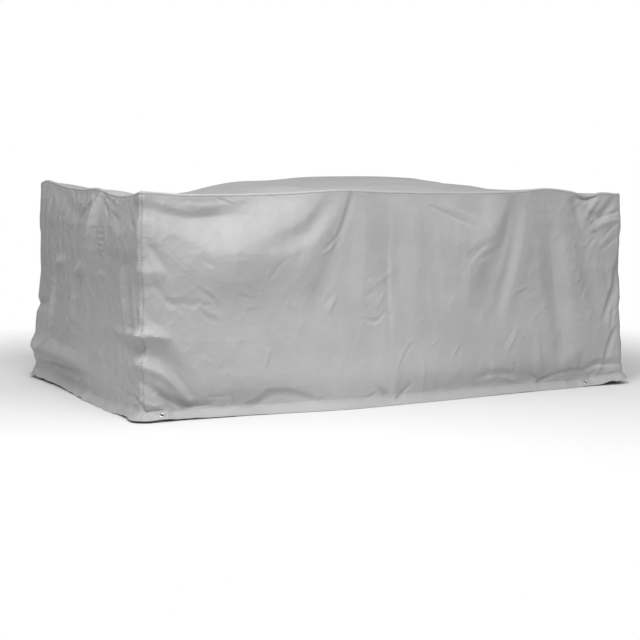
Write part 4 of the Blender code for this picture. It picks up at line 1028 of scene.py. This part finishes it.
# ---------------------------------------------------------------------------
# The top panel
# One panel in the same cloth, laid over the furniture and turned down at its
# rim to the seam. It sags between what carries it and is raised at the back.
# ---------------------------------------------------------------------------
RIM_RADIUS = 0.011
RIM_TURNS = (0, 8, 17, 28, 42, 58, 74)      # how many degrees round the rim its mesh rings are
RIM_GAP = 0.0002        # the rim starts this far over the walls' cloth
CORNER_KNOB = 0.0035    # how far the folded-in cloth at a corner lifts the rim
KNOB_WIDTH = 0.014
TOP_CELL = 0.0108
TOP_STEPS = (0, 0.006, 0.013, 0.021)        # cells' edges beside a corner
TOP_FORMS = (
    # x, y, half length, half width, rise (mm)
    (-0.78, -0.34, 0.42, 0.38, -42),
    (0.10, -0.30, 0.46, 0.34, -30),
    (0.80, -0.26, 0.38, 0.42, -34),
    (-0.72, 0.38, 0.42, 0.32, -26),
    (0.50, 0.42, 0.60, 0.26, 16),
    (-0.30, 0.06, 0.20, 0.55, 12),
    (-0.94, 0.10, 0.16, 0.34, -10),
    (-0.55, 0.20, 0.34, 0.11, 9),
    (0.36, -0.52, 0.40, 0.09, -9),
    (0.62, 0.08, 0.13, 0.36, 9),
    (0.92, 0.34, 0.20, 0.14, -9),
    (-0.10, 0.52, 0.34, 0.10, -8),
)
TOP_RISE, TOP_LUMPS = 0.0030, (0.19, 0.13, 31)          # how high its lumps are; their width, length, seed
SMALL_RISE, SMALL_LUMPS = 0.0012, (0.07, 0.05, 32)
LUMPS_IN, LUMPS_FADE = 0.02, 0.10       # how far in from the rim the lumps start, and how slowly they grow
FORMS_IN, FORMS_FADE = 0.03, 0.15       # and the same of all the hollows, swells and lumps together
CALM_FAR = 0.56         # its UV map starts this share of the way around, where CRUSHED is low


def top_columns(wall):
    """Distances around the cover of the top panel's mesh columns along a wall."""
    reach = wall_reach(wall)
    places = [-reach + step for step in TOP_STEPS[:-1]]
    places += spaced(-reach + TOP_STEPS[-1], reach - TOP_STEPS[-1], TOP_CELL)
    places += [reach - step for step in reversed(TOP_STEPS)]
    return wall_middle(wall) + np.array(places)


def rim_point(s, turn):
    """Points of the turned-down rim, from the seam (turn 0) to the top (turn 90 degrees)."""
    out = reach_out(s, seam_height(s)) - RIM_RADIUS * (1 - math.cos(turn))
    out += TOP_SEAM * seam_profile(RIM_RADIUS * turn) * math.cos(turn)
    knob = CORNER_KNOB * np.exp(-(corner_away(s) / KNOB_WIDTH) ** 2)
    return hung(s, out, seam_height(s) + RIM_GAP + (RIM_RADIUS + knob) * math.sin(turn))


def top_height(x, y):
    """The rise of the top panel's hollows and swells, which fade out towards its rim."""
    rise = np.zeros_like(x)
    for cx, cy, half_x, half_y, height in TOP_FORMS:
        far = ((x - cx) / half_x) ** 2 + ((y - cy) / half_y) ** 2
        rise += height / 1000 * np.clip(1 - far, 0, 1) ** 2
    inward = np.minimum(LENGTH / 2 - np.abs(x), WIDTH / 2 - np.abs(y))
    # the whole panel is moved and squeezed into the reach of the pattern of lumps
    across, up = x + 2, y * 0.7 + 0.6
    rise += TOP_RISE * unevenness(across, up, *TOP_LUMPS) * smooth((inward - LUMPS_IN) / LUMPS_FADE)
    rise += SMALL_RISE * unevenness(across, up, *SMALL_LUMPS)
    return rise * smooth((inward - FORMS_IN) / FORMS_FADE)


# The middle is a grid stretched evenly between its four edges
sides = [top_columns(wall) for wall in WALLS]
front, right, back, left = [rim_point(side, math.pi / 2) for side in sides]
back, left = back[::-1], left[::-1]
u = (front[:, 0] - front[0, 0]) / (front[-1, 0] - front[0, 0])
v = (right[:, 1] - right[0, 1]) / (right[-1, 1] - right[0, 1])
u, v = u[None, :, None], v[:, None, None]
lengthwise = (1 - v) * front[None] + v * back[None]
widthwise = (1 - u) * left[:, None] + u * right[:, None]
corners = (1 - u) * (1 - v) * front[0] + u * (1 - v) * front[-1] + (1 - u) * v * back[0] + u * v * back[-1]
middle = lengthwise + widthwise - corners
middle[:, :, 2] += top_height(middle[:, :, 0], middle[:, :, 1])

# The rim's rings, from the seam up, then the middle's own edge as the last ring
loop = np.concatenate([side[:-1] for side in sides])
index, faces = grid_faces(*middle.shape[:2])
edge = np.concatenate([index[0, :-1], index[:-1, -1], index[-1, :0:-1], index[:0:-1, 0]])
rings = [index.size + number * len(loop) + np.arange(len(loop)) for number in range(len(RIM_TURNS))]
points = np.vstack([middle.reshape(-1, 3)] + [rim_point(loop, math.radians(turn)) for turn in RIM_TURNS])
bands = [
    np.column_stack([lower, np.roll(lower, -1), np.roll(upper, -1), upper])
    for lower, upper in zip(rings, rings[1:] + [edge])
]
quads = np.vstack([faces.reshape(-1, 4)] + bands)

# Each point faces as the faces around it do
at = points[quads]
facing = np.cross(at[:, 2] - at[:, 0], at[:, 3] - at[:, 1])
normals = np.zeros_like(points)
for k in range(4):
    np.add.at(normals, quads[:, k], facing)
normals /= np.linalg.norm(normals, axis=1)[:, None]
# the rim darkens towards the seam with painted shade and a little dust
beside = np.zeros(len(points))
for ring, turn in zip(rings, RIM_TURNS):
    beside[ring] = math.exp(-RIM_RADIUS * math.radians(turn) / SEAM_SHADE)
uv = points[:, :2] + (CALM_FAR * GIRTH, 0)
top_cloth = cloth_piece("top_cloth", points, normals, quads, uv, beside, CLOTH, wall_cloth)
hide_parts("top_panel")
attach(top_cloth, "root")

# ---------------------------------------------------------------------------
# The stitching
# Grey thread in straight rows: two along each hem, one beside each upright
# corner seam and one under the top seam. Each stitch is a short sunken length.
# ---------------------------------------------------------------------------
PITCH = 0.0046          # from one stitch to the next
STITCH_LENGTH = 0.0032
THREAD = 0.0006         # thickness of the thread
STITCH_OUT = 0.3 * THREAD           # a stitch's middle stands this far out of the cloth
SEAM_ROW = 0.008        # how far from a seam the row beside it is
ROW_STEP = 0.006        # between the points of a row's path
ROW_END = 0.004         # a hem's rows, and an upright row at its foot, stop this short of the cloth's edge
ROW_HEAD = 0.012        # and an upright row this far under the top seam

thread_material, tree, shader = new_material("stitch_thread")
place = node(tree, "ShaderNodeTexCoord").outputs["Object"]
ply = node(tree, "ShaderNodeTexNoise", Vector=place, Scale=900.0, Detail=2.0).outputs["Fac"]
twist = node(tree, "ShaderNodeBump", Strength=0.4, Distance=0.0002, Height=ply)
grey = toned(tree, ply, (0.0, (0.30, 0.30, 0.31)), (1.0, (0.46, 0.46, 0.465)))
give(tree, shader, Base_Color=grey, Roughness=0.7, Normal=twist.outputs["Normal"])

# A row of stitches: copies of one short length of thread along a path
stitching = bpy.data.node_groups.new("stitch_row", "GeometryNodeTree")
for label, way, kind in (
    ("Geometry", "INPUT", "Geometry"),
    ("Pitch", "INPUT", "Float"),
    ("Stitch Length", "INPUT", "Float"),
    ("Thread", "INPUT", "Float"),
    ("Material", "INPUT", "Material"),
    ("Geometry", "OUTPUT", "Geometry"),
):
    stitching.interface.new_socket(label, in_out=way, socket_type="NodeSocket" + kind)
given = node(stitching, "NodeGroupInput").outputs
path = node(stitching, "GeometryNodeMeshToCurve", Mesh=given["Geometry"]).outputs["Curve"]
even = node(stitching, "GeometryNodeResampleCurve", mode="LENGTH", Curve=path, Length=given["Pitch"])
tangent = node(stitching, "GeometryNodeInputTangent").outputs["Tangent"]
turned = node(stitching, "FunctionNodeAlignEulerToVector", axis="Z", Vector=tangent)
single = node(
    stitching, "GeometryNodeMeshCylinder", fill_type="TRIANGLE_FAN", Vertices=6,
    Radius=given["Thread"], Depth=given["Stitch Length"],
)
copies = node(
    stitching, "GeometryNodeInstanceOnPoints", Points=even.outputs["Curve"],
    Instance=single.outputs["Mesh"], Rotation=turned.outputs["Rotation"],
)
real = node(stitching, "GeometryNodeRealizeInstances", Geometry=copies.outputs["Instances"])
stitches = real.outputs["Geometry"]
finish = node(stitching, "GeometryNodeSetMaterial", Geometry=stitches, Material=given["Material"])
node(stitching, "NodeGroupOutput", Geometry=finish.outputs["Geometry"])


def stitch_rows(name, lines):
    """Stitches along lines of points, as one plain mesh."""
    verts, edges = [], []
    for points in lines:
        start = len(verts)
        verts += points.tolist()
        edges += [(start + k, start + k + 1) for k in range(len(points) - 1)]
    mesh = bpy.data.meshes.new(name + "_path")
    mesh.from_pydata(verts, edges, [])
    path = bpy.data.objects.new(name + "_path", mesh)
    bpy.context.scene.collection.objects.link(path)
    rows = path.modifiers.new("rows", "NODES")
    rows.node_group = stitching
    values = {"Pitch": PITCH, "Stitch Length": STITCH_LENGTH, "Thread": THREAD / 2, "Material": thread_material}
    for item in stitching.interface.items_tree:
        if item.in_out == "INPUT" and item.name in values:
            rows[item.identifier] = values[item.name]
    bpy.context.view_layer.update()
    made = bpy.data.meshes.new_from_object(path.evaluated_get(bpy.context.evaluated_depsgraph_get()))
    made.name = name
    bpy.data.objects.remove(path)
    piece = bpy.data.objects.new(name, made)
    bpy.context.scene.collection.objects.link(piece)
    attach(piece, "root")
    return piece


def wall_row(s, z):
    """Points of a row of stitches on a wall."""
    away = np.minimum(corner_away(s), seam_height(s) - z)
    return hung(s, reach_out(s, z) + seam_profile(away) + STITCH_OUT, z)


hem_rows, seam_rows = [], []
for wall in WALLS:
    reach = wall_reach(wall) - ROW_END
    s = wall_middle(wall) + np.arange(-reach, reach, ROW_STEP)
    tilt, outward = lean(s), outline(s)[1]
    off_cloth = np.column_stack([outward * np.cos(tilt)[:, None], np.sin(tilt)]) * STITCH_OUT
    for down in (STITCH_DOWN, EDGE_DOWN):
        hem_rows.append(hem_skin(s, np.full(s.shape, down)) + off_cloth)
    seam_rows.append(wall_row(s, seam_height(s) - SEAM_ROW))
    beside_corner = np.array([wall_middle(wall) - wall_reach(wall) + SEAM_ROW])
    foot, head = hem_top(beside_corner)[0] + ROW_END, seam_height(beside_corner)[0] - ROW_HEAD
    z = np.arange(foot, head, ROW_STEP)
    seam_rows.append(wall_row(np.full(z.shape, beside_corner[0]), z))
stitch_rows("hem_stitches", hem_rows)
seam_stitches = stitch_rows("seam_stitches", seam_rows)

# ---------------------------------------------------------------------------
# The eyelets
# Eight plated brass eyelets in two parts, a rolled flange with its barrel and a
# washer, clamped through the hems on either side of each corner.
# ---------------------------------------------------------------------------
EYELET_SIDES = 40

# radius and height over the cloth's outer face, in mm, round the section of an eyelet
EYELET_SECTION = (
    (6.0, -3.1), (10.9, -3.1), (11.0, -2.9), (10.9, -2.6), (6.8, -2.6), (6.8, 0.15), (10.9, 0.15), (11.4, 0.25),
    (11.5, 0.5), (11.3, 0.8), (10.7, 1.1), (9.6, 1.3), (8.3, 1.3), (7.2, 1.1), (6.4, 0.7), (6.0, 0.1),
)

plated, tree, shader = new_material("plated_metal")
place = node(tree, "ShaderNodeTexCoord").outputs["Object"]
tarnish = node(tree, "ShaderNodeTexNoise", Vector=place, Scale=220.0, Detail=4.0).outputs["Fac"]
polish = node(tree, "ShaderNodeMapRange", Value=tarnish, To_Min=0.20, To_Max=0.42)
dents = node(tree, "ShaderNodeBump", Strength=0.25, Distance=0.0002, Height=tarnish)
plating = toned(tree, tarnish, (0.35, (0.64, 0.64, 0.63)), (0.6, (0.86, 0.86, 0.86)))
give(tree, shader, Metallic=1.0, Base_Color=plating)
give(tree, shader, Roughness=polish.outputs["Result"], Normal=dents.outputs["Normal"])

# The section turned about the eyelet's axis
verts, faces = [], []
section = len(EYELET_SECTION)
for side in range(EYELET_SIDES):
    angle = 2 * math.pi * side / EYELET_SIDES
    verts += [(r / 1000 * math.cos(angle), r / 1000 * math.sin(angle), h / 1000) for r, h in EYELET_SECTION]
    here, there = side * section, (side + 1) % EYELET_SIDES * section
    for k in range(section):
        after = (k + 1) % section
        faces.append((here + k, there + k, there + after, here + after))

for name, wall, a in EYELETS:
    s = np.array([wall_middle(wall) + a])
    point, outward = outline(s)
    tilt = lean(s)[0]
    reach = reach_out(s, hem_top(s))[0] + EYELET_DOWN * math.sin(tilt)
    height = hem_top(s)[0] - EYELET_DOWN * math.cos(tilt)
    centre = Vector((*(point[0] + outward[0] * reach), height))
    out_of_cloth = Vector((*(outward[0] * math.cos(tilt)), math.sin(tilt)))
    along = Vector((*WALLS[wall][2], 0))
    turn = Matrix((along, out_of_cloth.cross(along), out_of_cloth)).transposed().to_4x4()
    mesh = bpy.data.meshes.new("eyelet_ring_" + name)
    mesh.from_pydata(verts, [], faces)
    mesh.transform(Matrix.Translation(centre) @ turn)
    ring = shown("eyelet_ring_" + name, mesh, plated, 60)
    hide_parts("eyelet_" + name)
    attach(ring, "root")

# ---------------------------------------------------------------------------
# The studio
# A plain pale floor that runs out into white, three large soft lights high in
# front and to the left, and the camera where the photograph was taken from.
# ---------------------------------------------------------------------------
FLOOR_NEAR = 1.6        # the floor is whole out to here, in metres from the middle
FLOOR_FAR = 3.4         # and has gone by here
FLOOR_SIDES = 96

floor_mesh = bpy.data.meshes.new("floor")
angles = [2 * math.pi * side / FLOOR_SIDES for side in range(FLOOR_SIDES)]
floor_edge = [(FLOOR_FAR * math.cos(angle), FLOOR_FAR * math.sin(angle), 0) for angle in angles]
floor_mesh.from_pydata(floor_edge, [], [tuple(range(FLOOR_SIDES))])
floor_paint, tree, shader = new_material("floor_paint")
place = node(tree, "ShaderNodeTexCoord").outputs["Object"]
distance = node(tree, "ShaderNodeVectorMath", operation="LENGTH")
tree.links.new(place, distance.inputs[0])
fade = node(
    tree, "ShaderNodeMapRange", interpolation_type="SMOOTHSTEP", Value=distance.outputs["Value"],
    From_Min=FLOOR_NEAR, From_Max=FLOOR_FAR, To_Min=1.0, To_Max=0.0,
)
give(tree, shader, Base_Color=(0.70, 0.70, 0.70, 1.0), Roughness=0.9, Alpha=fade.outputs["Result"])
floor_mesh.materials.append(floor_paint)
floor = bpy.data.objects.new("floor", floor_mesh)
bpy.context.scene.collection.objects.link(floor)

# The room is white to look at, and lights the cover less at eye level than from above
LEVEL_LIGHT = 0.28
OVERHEAD_LIGHT = 0.56

world = bpy.data.worlds.new("studio")
world.use_nodes = True
tree = world.node_tree
direction = node(tree, "ShaderNodeTexCoord").outputs["Generated"]
upward = calc(tree, "MAXIMUM", node(tree, "ShaderNodeSeparateXYZ", Vector=direction).outputs[2], 0.0)
room = calc(tree, "ADD", calc(tree, "MULTIPLY", upward, OVERHEAD_LIGHT), LEVEL_LIGHT)
seen = node(tree, "ShaderNodeLightPath").outputs["Is Camera Ray"]
white = calc(tree, "MULTIPLY", calc(tree, "SUBTRACT", 1.0, room), seen)
give(tree, tree.nodes["Background"], Color=(1.0, 1.0, 1.0, 1.0), Strength=calc(tree, "ADD", room, white))
bpy.context.scene.world = world


def soft_light(name, place, target, size, power):
    """A square light that shines from a place towards a target."""
    light = bpy.data.lights.new(name, "AREA")
    light.shape = "SQUARE"
    light.size = size
    light.energy = power
    lamp = bpy.data.objects.new(name, light)
    bpy.context.scene.collection.objects.link(lamp)
    lamp.visible_camera = False
    lamp.location = place
    lamp.rotation_euler = (Vector(target) - Vector(place)).to_track_quat("-Z", "Y").to_euler()


soft_light("key", (-1.6, -2.2, 3.4), (-1.0, -0.5, 0.4), 1.6, 84)
soft_light("front_fill", (0.4, -4.6, 3.6), (0.0, -0.4, 0.5), 3.0, 70)
soft_light("end_fill", (-4.6, -1.8, 3.2), (-1.0, 0.0, 0.5), 2.4, 42)

bpy.context.scene.view_settings.view_transform = "Standard"

CAMERA_PLACE = (-2.943, -5.686, 0.918)
CAMERA_DOWN = 5.565     # how many degrees it looks down
CAMERA_RIGHT = 27.16    # and how many it is turned to the right of the cover's own front

camera_data = bpy.data.cameras.new("camera")
camera_data.sensor_width = 36.0
camera_data.lens = 73.52
camera = bpy.data.objects.new("camera", camera_data)
bpy.context.scene.collection.objects.link(camera)
camera.location = CAMERA_PLACE
camera.rotation_euler = (math.radians(90 - CAMERA_DOWN), 0, -math.radians(CAMERA_RIGHT))
bpy.context.scene.camera = camera
